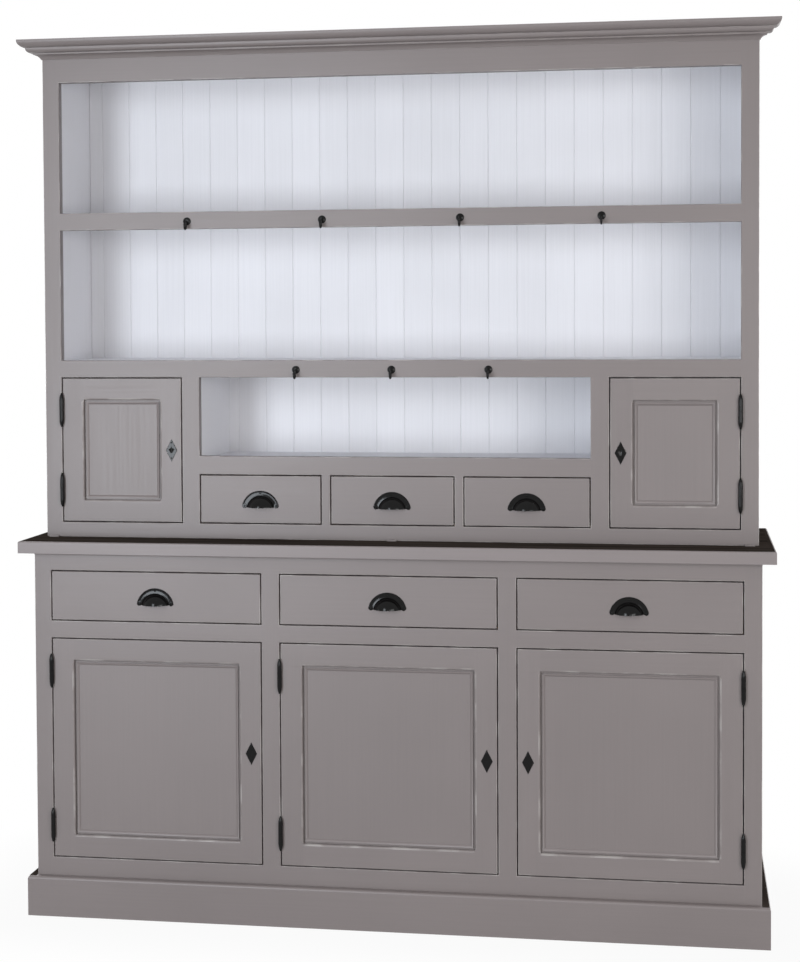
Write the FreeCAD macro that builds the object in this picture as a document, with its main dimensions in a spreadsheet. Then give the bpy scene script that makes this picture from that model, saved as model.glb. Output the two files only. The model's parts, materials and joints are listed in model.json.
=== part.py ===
# A two-part kitchen dresser: a base with drawers over doors, and a hutch of open shelves on its worktop.
# Millimetres, +Z up, front towards -Y, origin on the floor under the middle of the outline.
import FreeCAD, Part
import math
import os
import re
import Sketcher

# Driving dimensions, in groups
SIZES = {
    # Base carcass
    "base_width": 1795, "base_depth": 468, "base_inner_depth": 400, "base_stile": 42.5, "base_muntin": 45,
    "base_bottom_rail": 46, "base_door_height": 555, "base_middle_rail": 43, "base_drawer_height": 127,
    "base_top_rail": 45, "base_shelf_level": 265, "shelf_setback": 45,
    # Boards common to base and hutch
    "frame_thickness": 23, "panel_thickness": 18, "back_thickness": 10, "side_lining": 6,
    # Plinth
    "plinth_height": 100, "plinth_projection": 20, "plinth_nose": 7, "plinth_lap": 40,
    # Worktop
    "worktop_thickness": 30, "worktop_overhang": 32, "lipping_width": 12, "lipping_nose": 4, "cove_size": 7,
    "stop_width": 24, "stop_depth": 9, "stop_height": 4, "stop_inset": 9,
    # Hutch carcass
    "hutch_width": 1785, "hutch_depth": 388, "hutch_inner_depth": 310, "hutch_side": 18.5,
    "hutch_stile": 42.5, "hutch_muntin": 45, "hutch_door_width": 315, "hutch_bottom_rail": 38,
    "small_drawer_height": 124,
    "niche_rail": 46, "niche_height": 198, "shelf_rail": 43, "shelf_height": 330, "frieze_height": 104.5,
    "shelf_thickness": 22, "drawer_divider": 22, "niche_floor_drop": 10, "ceiling_rise": 47,
    # Tongue-and-groove back boards
    "board_pitch": 74.8, "first_board": 36, "board_thickness": 12, "board_vee": 1.6, "tongue_length": 5,
    "tongue_thickness": 4, "tongue_play": 0.4,
    # Cornice, from its foot up to its nose
    "cornice_foot": 2, "scotia_run": 16, "scotia_rise": 9.5, "scotia_radius": 20, "fillet_rise": 5.5,
    "soffit_run": 5, "bead_run": 10, "bead_rise": 10, "bead_radius": 8, "quirk_rise": 2, "quirk_run": 3,
    "ovolo_run": 14, "ovolo_rise": 13, "ovolo_radius": 14, "nose_rise": 5.5, "cornice_return": 10,
    # Doors
    "door_gap": 2.5, "door_thickness": 22, "door_member": 55, "door_panel": 8, "panel_recess": 10,
    "panel_tongue": 8, "panel_play": 1, "moulding_quirk": 2, "moulding_base": 4, "moulding_bead": 8,
    "moulding_radius": 4.2, "moulding_lip": 2.5, "moulding_lip_height": 2,
    # Hinges
    "hinge_length": 86, "hinge_offset": 37, "barrel_radius": 5.6, "barrel_straight": 34, "barrel_tip": 1.6,
    "ogive_radius": 87, "barrel_standoff": 0.4, "knuckle_gap": 0.3, "hinge_pin_radius": 2.6,
    "hinge_pin_length": 20, "hinge_pin_clearance": 0.05, "hinge_bore_spare": 1, "leaf_thickness": 1,
    "leaf_depth": 18,
    # Locks
    "plate_width": 33, "plate_height": 60, "plate_thickness": 1.6, "lock_inset": 25, "keyhole_radius": 3,
    "keyhole_slot": 2.2, "keyhole_drop": 8, "case_width": 44, "case_height": 60, "case_depth": 13,
    "case_edge_gap": 1, "bolt_height": 14, "bolt_thickness": 6, "bolt_length": 40, "bolt_clearance": 0.3,
    # Drawers
    "drawer_front": 22, "drawer_side": 12, "drawer_bottom": 6, "drawer_bottom_rise": 8, "drawer_play": 1.5,
    "drawer_lift": 0.3, "drawer_side_drop": 14, "base_drawer_length": 370, "small_drawer_length": 280,
    "runner_height": 25, "runner_ledge": 16, "guide_height": 40,
    # Cup pulls
    "pull_radius": 48, "pull_flange": 2, "pull_drop": 6, "dome_radius": 35.5, "dome_depth": 22, "dome_shell": 2,
    "ear_rise": 4,
    # Cup hooks
    "rose_radius": 10, "rose_thickness": 3, "hook_wire": 2, "hook_stem": 6, "hook_bend": 4, "hook_drop": 14,
    "hook_throat": 7, "hook_tip": 4, "hook_ball": 3, "hook_height": 19, "high_hook_spacing": 345,
    "low_hook_spacing": 241,
}

# Levels, planes and widths worked out from the driving dimensions
PLACES = {
    "back": "(base_depth + worktop_overhang) / 2",
    "base_front": "back - base_depth",
    "base_frame_back": "base_front + frame_thickness",
    "base_inner_back": "base_front + base_inner_depth",
    "base_half": "base_width / 2",
    "base_door_low": "plinth_height + base_bottom_rail",
    "base_door_high": "base_door_low + base_door_height",
    "base_drawer_low": "base_door_high + base_middle_rail",
    "base_drawer_high": "base_drawer_low + base_drawer_height",
    "base_top": "base_drawer_high + base_top_rail",
    "column_width": "(base_width - 2 * base_stile - 2 * base_muntin) / 3",
    "worktop_top": "base_top + worktop_thickness",
    "hutch_front": "back - hutch_depth",
    "hutch_frame_back": "hutch_front + frame_thickness",
    "hutch_inner_back": "hutch_front + hutch_inner_depth",
    "hutch_half": "hutch_width / 2",
    "hutch_inner_half": "hutch_half - hutch_side",
    "hutch_low": "worktop_top + hutch_bottom_rail",
    "small_drawer_high": "hutch_low + small_drawer_height",
    "niche_low": "small_drawer_high + niche_rail",
    "niche_high": "niche_low + niche_height",
    "low_shelf_top": "niche_high + shelf_rail",
    "high_rail_low": "low_shelf_top + shelf_height",
    "high_shelf_top": "high_rail_low + shelf_rail",
    "frieze_low": "high_shelf_top + shelf_height",
    "hutch_top": "frieze_low + frieze_height",
    "niche_floor": "niche_low - niche_floor_drop",
    "ceiling": "frieze_low + ceiling_rise",
    "muntin_half": "hutch_half - hutch_stile - hutch_door_width",
    "niche_half": "muntin_half - hutch_muntin",
    "small_width": "(2 * niche_half - 2 * drawer_divider) / 3",
    "cornice_height": "scotia_rise + fillet_rise + bead_rise + quirk_rise + ovolo_rise + nose_rise",
    "barrel_reach": "barrel_radius + barrel_standoff",
    "hinge_bore": "hinge_pin_radius + hinge_pin_clearance",
    "moulding_far": "moulding_quirk + moulding_bead",
    "tongue_front": "(board_thickness - tongue_thickness) / 2",
    "tongue_back": "(board_thickness + tongue_thickness) / 2",
    "ear_level": "pull_drop + ear_rise",
    "flange_end": "sqrt(pull_radius ^ 2 - (ear_level) ^ 2)",
    "flange_root": "sqrt(dome_radius ^ 2 - (ear_level) ^ 2)",
    "ear_radius": "(flange_end - flange_root) / 2",
    "hook_leg": "hook_stem + hook_bend",
    "hook_low": "hook_bend + hook_drop",
}

doc = FreeCAD.newDocument("kitchen_dresser")
sheet = doc.addObject("Spreadsheet::Sheet", "sizes")
for row, (alias, size) in enumerate(SIZES.items(), 1):
    sheet.set(f"A{row}", alias)
    sheet.set(f"B{row}", str(size))
    sheet.setAlias(f"B{row}", alias)
doc.recompute()

NODES = {}


def formula(text):
    """Write a sum of named sizes and places as an expression on the sheet."""
    def expand(match):
        word = match.group(0)
        if word in PLACES:
            return "(" + formula(PLACES[word]) + ")"
        return "sizes." + word if word in SIZES else word
    return re.sub(r"[a-z][a-z_]*", expand, text)


def number(text):
    """Give the present value of a sum of named sizes and places."""
    return float(sheet.evalExpression(formula(text)))


def place(thing, x, y, z):
    for axis, text in zip("xyz", (x, y, z)):
        thing.setExpression("Placement.Base." + axis, formula(text))
    return thing


def box(name, size, corner):
    block = doc.addObject("Part::Box", name)
    for side, text in zip(("Length", "Width", "Height"), size):
        block.setExpression(side, formula(text))
    return place(block, *corner)


def slab(name, x, y, z):
    """A box given by its low and high face on each axis."""
    spans = (x, y, z)
    return box(name, [f"({high}) - ({low})" for low, high in spans], [low for low, high in spans])


def cut(name, base, tool):
    result = doc.addObject("Part::Cut", name)
    result.Base = base
    result.Tool = tool
    return result


def fuse(name, pieces):
    result = doc.addObject("Part::MultiFuse", name)
    result.Shapes = pieces
    return result


def copy_of(master, name, x, y, z):
    twin = doc.addObject("App::Link", name)
    twin.LinkedObject = master
    return place(twin, x, y, z)


def node(label, thing):
    thing.Label = label
    NODES[label] = thing


def group(label, pieces):
    bundle = doc.addObject("Part::Compound", label)
    bundle.Links = pieces
    node(label, bundle)


def body_with(name):
    return doc.addObject("PartDesign::Body", name)


def sketch_on(body, role, name):
    sketch = body.newObject("Sketcher::SketchObject", name)
    plane = next(feature for feature in body.Origin.OriginFeatures if feature.Role == role)
    sketch.AttachmentSupport = [(plane, "")]
    sketch.MapMode = "FlatFace"
    return sketch


def pin(sketch, edge, end, spot):
    """Hold one end of an edge at a spot given by two sums of sizes."""
    for kind, axis, text in (("DistanceX", -2, spot[0]), ("DistanceY", -1, spot[1])):
        if text == "0":
            sketch.addConstraint(Sketcher.Constraint("PointOnObject", edge, end, axis))
        else:
            held = sketch.addConstraint(Sketcher.Constraint(kind, -1, 1, edge, end, number(text)))
            sketch.setExpression(f"Constraints[{held}]", formula(text))


def arc_between(start, finish, radius):
    """A short arc that turns left for a positive radius and right for a negative one."""
    chord = finish - start
    left = FreeCAD.Vector(-chord.y, chord.x, 0).normalize()
    reach = math.sqrt(radius ** 2 - (chord.Length / 2) ** 2)
    centre = (start + finish) * 0.5 + left * math.copysign(reach, radius)
    ends = (start, finish) if radius > 0 else (finish, start)
    angles = [math.atan2(end.y - centre.y, end.x - centre.x) for end in ends]
    circle = Part.Circle(centre, FreeCAD.Vector(0, 0, 1), abs(radius))
    return Part.ArcOfCircle(circle, *angles)


def outline(sketch, spots, closed=True):
    """Draw a run of lines and arcs; a third entry on a spot is the radius of the arc that reaches it."""
    points = [FreeCAD.Vector(number(spot[0]), number(spot[1]), 0) for spot in spots]
    legs = len(spots) if closed else len(spots) - 1
    first = sketch.GeometryCount
    starts = []
    for leg in range(legs):
        goal = (leg + 1) % len(spots)
        if len(spots[goal]) == 2:
            sketch.addGeometry(Part.LineSegment(points[leg], points[goal]), False)
            starts.append(1)
            continue
        radius = number(spots[goal][2])
        sketch.addGeometry(arc_between(points[leg], points[goal], radius), False)
        starts.append(1 if radius > 0 else 2)
        held = sketch.addConstraint(Sketcher.Constraint("Radius", first + leg, abs(radius)))
        sketch.setExpression(f"Constraints[{held}]", "abs(" + formula(spots[goal][2]) + ")")
    for leg in range(legs):
        pin(sketch, first + leg, starts[leg], spots[leg])
        if closed or leg + 1 < legs:
            after = (leg + 1) % legs
            meeting = (first + leg, 3 - starts[leg], first + after, starts[after])
            sketch.addConstraint(Sketcher.Constraint("Coincident", *meeting))
    if not closed:
        pin(sketch, first + legs - 1, 3 - starts[-1], spots[-1])


def climb(moves):
    """Turn steps of run and rise, each with an arc's radius if it is curved, into outline spots."""
    spots = [("0", "0")]
    across = up = "0"
    for move in moves:
        across = across if move[0] == "0" else f"{across} + {move[0]}"
        up = up if move[1] == "0" else f"{up} + {move[1]}"
        spots.append((across, up) + tuple(move[2:]))
    spots.append(("0", up))
    return spots


def pipe_along(body, profile, path, edges):
    run = body.newObject("PartDesign::AdditivePipe", "run")
    run.Profile = profile
    run.Spine = (path, [f"Edge{edge}" for edge in range(1, edges + 1)])
    run.Transition = "Right corner"


def wrapped_moulding(name, profile_spots, half_width, depth, low, rear="back"):
    """A moulding mitred round the right side, front and left side of a carcass, from a rear plane."""
    body = body_with(name)
    path = sketch_on(body, "XY_Plane", "path")
    front = f"-({depth})"
    left = f"-({half_width})"
    outline(path, [(half_width, "0"), (half_width, front), (left, front), (left, "0")], closed=False)
    profile = sketch_on(body, "XZ_Plane", "profile")
    profile.setExpression("AttachmentOffset.Base.x", formula(half_width))
    outline(profile, profile_spots)
    pipe_along(body, profile, path, 3)
    return place(body, "0", rear, low)


def turned(name, spots, angle, reverse, role="XZ_Plane"):
    """A solid of revolution about the sketch's upright axis."""
    body = body_with(name)
    profile = sketch_on(body, role, "profile")
    outline(profile, spots)
    turn = body.newObject("PartDesign::Revolution", "turn")
    turn.Profile = profile
    turn.ReferenceAxis = (profile, ["V_Axis"])
    turn.Angle = angle
    turn.Reversed = reverse
    return body


def column_left(column):
    return f"base_stile - base_half + {column} * (column_width + base_muntin)"


def small_left(column):
    return f"{column} * (small_width + drawer_divider) - niche_half"


def make_sides(carcass, outer, inner, depth, height):
    """Two painted side panels of a carcass, each with a lining board glued to its inner face."""
    skin = f"{inner} + side_lining"
    group(carcass + "_side_panels", [
        slab("left_side", (f"-({outer})", f"-({skin})"), depth, height),
        slab("right_side", (skin, outer), depth, height),
    ])
    group(carcass + "_side_linings", [
        slab("left_lining", (f"-({skin})", f"-({inner})"), depth, height),
        slab("right_lining", (inner, skin), depth, height),
    ])


# Base carcass
def make_base():
    behind = ("base_frame_back", "back")
    inside = ("base_frame_back", "base_inner_back")
    inner_half = "base_half - panel_thickness"
    make_sides("base", "base_half", inner_half, behind, ("0", "base_top"))
    middles = [f"{column_left(column)} - base_muntin / 2" for column in (1, 2)]
    walls = [(f"{middle} - panel_thickness / 2", f"{middle} + panel_thickness / 2") for middle in middles]
    group("base_partitions", [
        slab("partition", wall, inside, ("base_door_low", "base_top")) for wall in walls
    ])
    bays = list(zip([f"-({inner_half})"] + [wall[1] for wall in walls],
                    [wall[0] for wall in walls] + [inner_half]))
    floor_span = (f"-({inner_half})", inner_half)
    shelf_low = "base_door_low + base_shelf_level"
    shelf_height = (shelf_low, f"{shelf_low} + panel_thickness")
    shelf_depth = ("base_frame_back + shelf_setback", "base_inner_back")
    floor_height = ("base_door_low - panel_thickness", "base_door_low")
    shelves = [slab("base_shelf", bay, shelf_depth, shelf_height) for bay in bays]
    group("base_shelves", [slab("base_floor", floor_span, inside, floor_height)] + shelves)
    back_depth = ("base_inner_back", "base_inner_back + back_thickness")
    back_height = ("base_door_low - panel_thickness", "base_top")
    node("base_back_panel", slab("base_back", floor_span, back_depth, back_height))
    runners = []
    for column, (low, high) in enumerate(bays):
        left = column_left(column)
        right = f"{left} + column_width"
        support = ("base_drawer_low - runner_height", "base_drawer_low")
        guide = ("base_drawer_low", "base_drawer_low + guide_height")
        runners.append(slab("runner", (low, f"{left} + runner_ledge"), inside, support))
        runners.append(slab("runner", (f"{right} - runner_ledge", high), inside, support))
        runners.append(slab("guide", (low, left), inside, guide))
        runners.append(slab("guide", (right, high), inside, guide))
    group("base_drawer_runners", runners)


def make_base_face_frame():
    thick = ("base_front", "base_frame_back")
    left_edge = "base_stile - base_half"
    span = (left_edge, f"-({left_edge})")
    frame = [
        slab("stile", ("-base_half", left_edge), thick, ("0", "base_top")),
        slab("stile", (f"-({left_edge})", "base_half"), thick, ("0", "base_top")),
        slab("bottom_rail", span, thick, ("plinth_height - plinth_lap", "base_door_low")),
        slab("top_rail", span, thick, ("base_drawer_high", "base_top")),
    ]
    for column in range(3):
        left = column_left(column)
        reach = (left, f"{left} + column_width")
        frame.append(slab("middle_rail", reach, thick, ("base_door_high", "base_drawer_low")))
    for column in (1, 2):
        edge = column_left(column)
        width = (f"{edge} - base_muntin", edge)
        frame.append(slab("muntin", width, thick, ("base_door_low", "base_drawer_high")))
    group("base_face_frame", frame)


def make_plinth():
    profile = climb([
        ("plinth_projection", "0"),
        ("0", "plinth_height - plinth_nose"),
        ("-plinth_nose", "plinth_nose", "plinth_nose"),
    ])
    node("plinth", wrapped_moulding("plinth", profile, "base_half", "base_depth", "0"))


# Worktop: a dark board edged with a painted lipping, a cove under it and stops that hold the hutch
def make_worktop():
    half = "base_half + worktop_overhang - lipping_width"
    depth = "base_depth + worktop_overhang - lipping_width"
    height = ("base_top", "worktop_top")
    node("worktop_board", slab("board", (f"-({half})", half), (f"back - ({depth})", "back"), height))
    lipping = climb([
        ("lipping_width", "0"),
        ("0", "worktop_thickness - lipping_nose"),
        ("-lipping_nose", "lipping_nose", "lipping_nose"),
    ])
    cove = climb([("cove_size", "cove_size", "-cove_size")])
    edging = [
        wrapped_moulding("lipping", lipping, half, depth, "base_top"),
        wrapped_moulding("cove", cove, "base_half", "base_depth", "base_top - cove_size"),
    ]
    far = "hutch_half - stop_inset - stop_width / 2"
    for middle in (f"-({far})", "0", far):
        width = (f"{middle} - stop_width / 2", f"{middle} + stop_width / 2")
        reach = ("hutch_front - stop_depth", "hutch_front")
        edging.append(slab("stop", width, reach, ("worktop_top", "worktop_top + stop_height")))
    group("worktop_edging", edging)


# Hutch carcass
def make_hutch():
    behind = ("hutch_frame_back", "back")
    inside = ("hutch_frame_back", "hutch_inner_back")
    tall = ("worktop_top", "hutch_top")
    make_sides("hutch", "hutch_half", "hutch_inner_half", behind, tall)
    shelf_low = "low_shelf_top - shelf_thickness"
    niche_under = "niche_floor - panel_thickness"
    uprights = []
    for low, high in (("-niche_half - panel_thickness", "-niche_half"),
                      ("niche_half", "niche_half + panel_thickness")):
        uprights.append(slab("partition", (low, high), inside, ("hutch_low", shelf_low)))
    for column in (1, 2):
        edge = small_left(column)
        uprights.append(slab("divider", (f"{edge} - drawer_divider", edge), inside, ("hutch_low", niche_under)))
    group("hutch_partitions", uprights)
    full = ("-hutch_inner_half", "hutch_inner_half")
    levels = [
        ("floor", full, ("hutch_low - panel_thickness", "hutch_low")),
        ("niche_floor", ("-niche_half", "niche_half"), (niche_under, "niche_floor")),
        ("low_shelf", full, (shelf_low, "low_shelf_top")),
        ("high_shelf", full, ("high_shelf_top - shelf_thickness", "high_shelf_top")),
        ("ceiling", full, ("ceiling", "ceiling + panel_thickness")),
    ]
    group("hutch_shelves", [slab(name, width, inside, height) for name, width, height in levels])


def make_hutch_face_frame():
    thick = ("hutch_front", "hutch_frame_back")
    edge = "hutch_half - hutch_stile"
    span = (f"-({edge})", edge)
    frame = [
        slab("stile", ("-hutch_half", f"-({edge})"), thick, ("worktop_top", "hutch_top")),
        slab("stile", (edge, "hutch_half"), thick, ("worktop_top", "hutch_top")),
        slab("bottom_rail", span, thick, ("worktop_top", "hutch_low")),
        slab("low_shelf_rail", span, thick, ("niche_high", "low_shelf_top")),
        slab("high_shelf_rail", span, thick, ("high_rail_low", "high_shelf_top")),
        slab("frieze", span, thick, ("frieze_low", "hutch_top")),
        slab("muntin", ("-muntin_half", "-niche_half"), thick, ("hutch_low", "niche_high")),
        slab("muntin", ("niche_half", "muntin_half"), thick, ("hutch_low", "niche_high")),
        slab("niche_rail", ("-niche_half", "niche_half"), thick, ("small_drawer_high", "niche_low")),
    ]
    for column in (1, 2):
        right = small_left(column)
        width = (f"{right} - drawer_divider", right)
        frame.append(slab("divider", width, thick, ("hutch_low", "small_drawer_high")))
    group("hutch_face_frame", frame)


# Back boards with a vee at each joint, a tongue on the right edge and a groove in the left edge
def make_board(name, width, grooved, tongued):
    body = body_with(name)
    plan = sketch_on(body, "XY_Plane", "plan")
    spots = [("0", "board_vee"), ("board_vee", "0"), (f"{width} - board_vee", "0"), (width, "board_vee")]
    if tongued:
        tip = f"{width} + tongue_length"
        spots += [(width, "tongue_front"), (tip, "tongue_front"), (tip, "tongue_back"), (width, "tongue_back")]
    spots += [(width, "board_thickness"), ("0", "board_thickness")]
    if grooved:
        deep = "tongue_length + tongue_play"
        front = "tongue_front - tongue_play"
        rear = "tongue_back + tongue_play"
        spots += [("0", rear), (deep, rear), (deep, front), ("0", front)]
    outline(plan, spots)
    length = body.newObject("PartDesign::Pad", "length")
    length.Profile = plan
    length.setExpression("Length", formula("ceiling + panel_thickness - worktop_top"))
    return body


def make_back_boards():
    whole_boards = int((number("2 * hutch_inner_half") - number("first_board")) // number("board_pitch"))
    last_left = f"first_board + {whole_boards} * board_pitch - hutch_inner_half"
    first = place(make_board("first_board", "first_board", False, True),
                  "-hutch_inner_half", "hutch_inner_back", "worktop_top")
    last = place(make_board("last_board", f"hutch_inner_half - ({last_left})", True, False),
                 last_left, "hutch_inner_back", "worktop_top")
    whole = make_board("whole_board", "board_pitch", True, True)
    boards = [first]
    for board in range(whole_boards):
        left = f"first_board + {board} * board_pitch - hutch_inner_half"
        boards.append(copy_of(whole, "board", left, "hutch_inner_back", "worktop_top"))
    group("hutch_back_boards", boards + [last])


def make_cornice():
    profile = climb([
        ("cornice_foot", "0"),
        ("scotia_run", "scotia_rise", "-scotia_radius"),
        ("0", "fillet_rise"),
        ("soffit_run", "0"),
        ("bead_run", "bead_rise", "bead_radius"),
        ("0", "quirk_rise"),
        ("quirk_run", "0"),
        ("ovolo_run", "ovolo_rise", "ovolo_radius"),
        ("0", "nose_rise"),
    ])
    low = "hutch_top - cornice_height"
    rear = "hutch_front + cornice_return"
    node("cornice", wrapped_moulding("cornice", profile, "hutch_half", "cornice_return", low, rear))


# Cup hooks on the two shelf rails
def make_hooks():
    wire = body_with("hook_wire")
    path = sketch_on(wire, "YZ_Plane", "path")
    far = "hook_leg + 2 * hook_throat"
    outline(path, [
        ("0", "0"),
        ("-hook_stem", "0"),
        ("-(hook_leg)", "-hook_bend", "hook_bend"),
        ("-(hook_leg)", "-(hook_low)"),
        ("-(hook_leg + hook_throat)", "-(hook_low + hook_throat)", "-hook_throat"),
        (f"-({far})", "-(hook_low)", "-hook_throat"),
        (f"-({far})", "hook_tip - (hook_low)"),
    ], closed=False)
    section = sketch_on(wire, "XZ_Plane", "section")
    section.addGeometry(Part.Circle(FreeCAD.Vector(), FreeCAD.Vector(0, 0, 1), number("hook_wire")), False)
    section.addConstraint(Sketcher.Constraint("Coincident", 0, 3, -1, 1))
    held = section.addConstraint(Sketcher.Constraint("Radius", 0, number("hook_wire")))
    section.setExpression(f"Constraints[{held}]", formula("hook_wire"))
    pipe_along(wire, section, path, 6)
    rose = doc.addObject("Part::Cylinder", "rose")
    rose.setExpression("Radius", formula("rose_radius"))
    rose.setExpression("Height", formula("rose_thickness"))
    rose.Placement.Rotation = FreeCAD.Rotation(FreeCAD.Vector(1, 0, 0), 90)
    ball = doc.addObject("Part::Sphere", "ball")
    ball.setExpression("Radius", formula("hook_ball"))
    place(ball, "0", f"-({far})", "hook_tip - (hook_low)")
    master = fuse("hook", [wire, rose, ball])
    hooks = []
    for rail_low, spacing, slots in (("high_rail_low", "high_hook_spacing", (-1.5, -0.5, 0.5, 1.5)),
                                     ("niche_high", "low_hook_spacing", (-1, 0, 1))):
        for slot in slots:
            hooks.append(copy_of(master, "hook", f"{slot} * {spacing}", "hutch_front", f"{rail_low} + hook_height"))
    group("hooks", hooks)


# Hinges with tapered barrels: the frame half carries the pin and the door half turns on it
def make_hinge_halves(hand):
    """The frame half and the door half for a door hung on its left (-1) or right (1) edge."""
    low_straight = "-barrel_straight / 2"
    low_face = "-knuckle_gap / 2"
    frame_barrel = turned("frame_knuckle", [
        ("0", "-hinge_length / 2"),
        ("barrel_tip", "-hinge_length / 2"),
        ("barrel_radius", low_straight, "ogive_radius"),
        ("barrel_radius", low_face),
        ("hinge_pin_radius", low_face),
        ("hinge_pin_radius", "hinge_pin_length"),
        ("0", "hinge_pin_length"),
    ], 360, False)
    bore_end = "hinge_pin_length + hinge_bore_spare"
    door_barrel = turned("door_knuckle", [
        ("hinge_bore", "knuckle_gap / 2"),
        ("barrel_radius", "knuckle_gap / 2"),
        ("barrel_radius", "barrel_straight / 2"),
        ("barrel_tip", "hinge_length / 2", "ogive_radius"),
        ("0", "hinge_length / 2"),
        ("0", bore_end),
        ("hinge_bore", bore_end),
    ], 360, False)
    root = "(hinge_bore + barrel_radius) / 2"
    depth = (root, "barrel_reach + leaf_depth")
    stile_side = ("-door_gap / 2", "leaf_thickness - door_gap / 2")
    leaf_side = ("door_gap / 2 - leaf_thickness", "door_gap / 2")
    frame_side, door_side = (stile_side, leaf_side) if hand < 0 else (leaf_side, stile_side)
    frame_leaf = slab("frame_leaf", frame_side, depth, (low_straight, low_face))
    door_leaf = slab("door_leaf", door_side, depth, ("knuckle_gap / 2", "barrel_straight / 2"))
    return fuse("frame_half", [frame_barrel, frame_leaf]), fuse("door_half", [door_barrel, door_leaf])


# Lock plate: a diamond with a keyhole
def make_lock_plate():
    body = body_with("lock_plate")
    face = sketch_on(body, "XZ_Plane", "face")
    wide = "plate_width / 2"
    tall = "plate_height / 2"
    outline(face, [("0", f"-({tall})"), (wide, "0"), ("0", tall), (f"-({wide})", "0")])
    shoulder = "-sqrt(keyhole_radius ^ 2 - keyhole_slot ^ 2 / 4)"
    outline(face, [
        ("-keyhole_slot / 2", "-keyhole_drop"),
        ("keyhole_slot / 2", "-keyhole_drop"),
        ("keyhole_slot / 2", shoulder),
        ("0", "keyhole_radius", "keyhole_radius"),
        ("-keyhole_slot / 2", shoulder, "keyhole_radius"),
    ])
    plate = body.newObject("PartDesign::Pad", "plate")
    plate.Profile = face
    plate.setExpression("Length", formula("plate_thickness"))
    return body


def make_door(name, left, low, width, height, front, hand, hinge_halves, lock_plate):
    """A framed door in an opening, hung on its left (-1) or right (1) edge and locked on the other."""
    edges = (f"{left} + door_gap", f"{left} + {width} - door_gap")
    ends = (f"{low} + door_gap", f"{low} + {height} - door_gap")
    inner = (f"{edges[0]} + door_member", f"{edges[1]} - door_member")
    clear = (f"{ends[0]} + door_member", f"{ends[1]} - door_member")
    thick = (front, f"{front} + door_thickness")
    panel_depth = (f"{front} + panel_recess", f"{front} + panel_recess + door_panel")
    room = "panel_tongue + panel_play"
    groove = slab("groove", (f"{inner[0]} - ({room})", f"{inner[1]} + {room}"), panel_depth,
                  (f"{clear[0]} - ({room})", f"{clear[1]} + {room}"))
    members = [
        slab("stile", (edges[0], inner[0]), thick, ends),
        slab("stile", (inner[1], edges[1]), thick, ends),
        slab("rail", inner, thick, (ends[0], clear[0])),
        slab("rail", inner, thick, (clear[1], ends[1])),
    ]
    group(name + "_frame", [cut("member", member, groove) for member in members])
    panel = slab("panel", (f"{inner[0]} - panel_tongue", f"{inner[1]} + panel_tongue"), panel_depth,
                 (f"{clear[0]} - panel_tongue", f"{clear[1]} + panel_tongue"))
    group(name + "_panel", [panel, make_panel_moulding(inner, clear, panel_depth[0])])

    frame_half, door_half = hinge_halves
    axis = f"{left} + door_gap / 2" if hand < 0 else f"{left} + {width} - door_gap / 2"
    forward = f"{front} - barrel_reach"
    from_end = "hinge_offset + hinge_length / 2"
    heights = (f"{ends[0]} + {from_end}", f"{ends[1]} - ({from_end})")
    group(name + "_hinge_halves", [copy_of(door_half, "half", axis, forward, at) for at in heights])

    lock_edge = edges[1] if hand < 0 else edges[0]
    inward = "-" if hand < 0 else "+"
    middle = f"({ends[0]} + {ends[1]}) / 2"
    plate = copy_of(lock_plate, "plate", f"{lock_edge} {inward} lock_inset", front, middle)
    case_face = f"{lock_edge} {inward} case_edge_gap"
    case_span = (f"{case_face} {inward} case_width", case_face)
    bolt_span = (f"{case_face} {inward} bolt_length", case_face)
    if hand > 0:
        case_span = case_span[::-1]
        bolt_span = bolt_span[::-1]
    case_depth = (thick[1], f"{thick[1]} + case_depth")
    case_height = (f"{middle} - case_height / 2", f"{middle} + case_height / 2")
    case = slab("case", case_span, case_depth, case_height)
    bolt_middle = f"{thick[1]} + case_depth / 2"
    slot_half = "(bolt_thickness / 2 + bolt_clearance)"
    slot_rise = "(bolt_height / 2 + bolt_clearance)"
    slot = slab("slot", case_span, (f"{bolt_middle} - {slot_half}", f"{bolt_middle} + {slot_half}"),
                (f"{middle} - {slot_rise}", f"{middle} + {slot_rise}"))
    group(name + "_lock", [plate, cut("lock_case", case, slot)])
    bolt_depth = (f"{bolt_middle} - bolt_thickness / 2", f"{bolt_middle} + bolt_thickness / 2")
    bolt_rise = (f"{middle} - bolt_height / 2", f"{middle} + bolt_height / 2")
    node(name + "_bolt", slab("bolt", bolt_span, bolt_depth, bolt_rise))
    return [copy_of(frame_half, "half", axis, forward, at) for at in heights]


def make_panel_moulding(inner, clear, panel_face):
    """A beaded moulding mitred round the four sides of a sunk panel."""
    body = body_with("moulding")
    wide = f"(({inner[1]}) - ({inner[0]})) / 2"
    tall = f"(({clear[1]}) - ({clear[0]})) / 2"
    path = sketch_on(body, "XZ_Plane", "path")
    outline(path, [("0", f"-{tall}"), (wide, f"-{tall}"), (wide, tall), (f"-{wide}", tall), (f"-{wide}", f"-{tall}")])
    profile = sketch_on(body, "YZ_Plane", "profile")
    profile.setExpression("AttachmentOffset.Base.y", formula(f"-{tall}"))
    outline(profile, [
        ("0", "0"),
        ("-moulding_base", "0"),
        ("-moulding_base", "moulding_quirk"),
        ("-moulding_base", "moulding_far", "-moulding_radius"),
        ("-moulding_lip_height", "moulding_far"),
        ("-moulding_lip_height", "moulding_far + moulding_lip"),
        ("0", "moulding_far + moulding_lip"),
    ])
    pipe_along(body, profile, path, 5)
    return place(body, f"({inner[0]} + {inner[1]}) / 2", panel_face, f"({clear[0]} + {clear[1]}) / 2")


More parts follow.
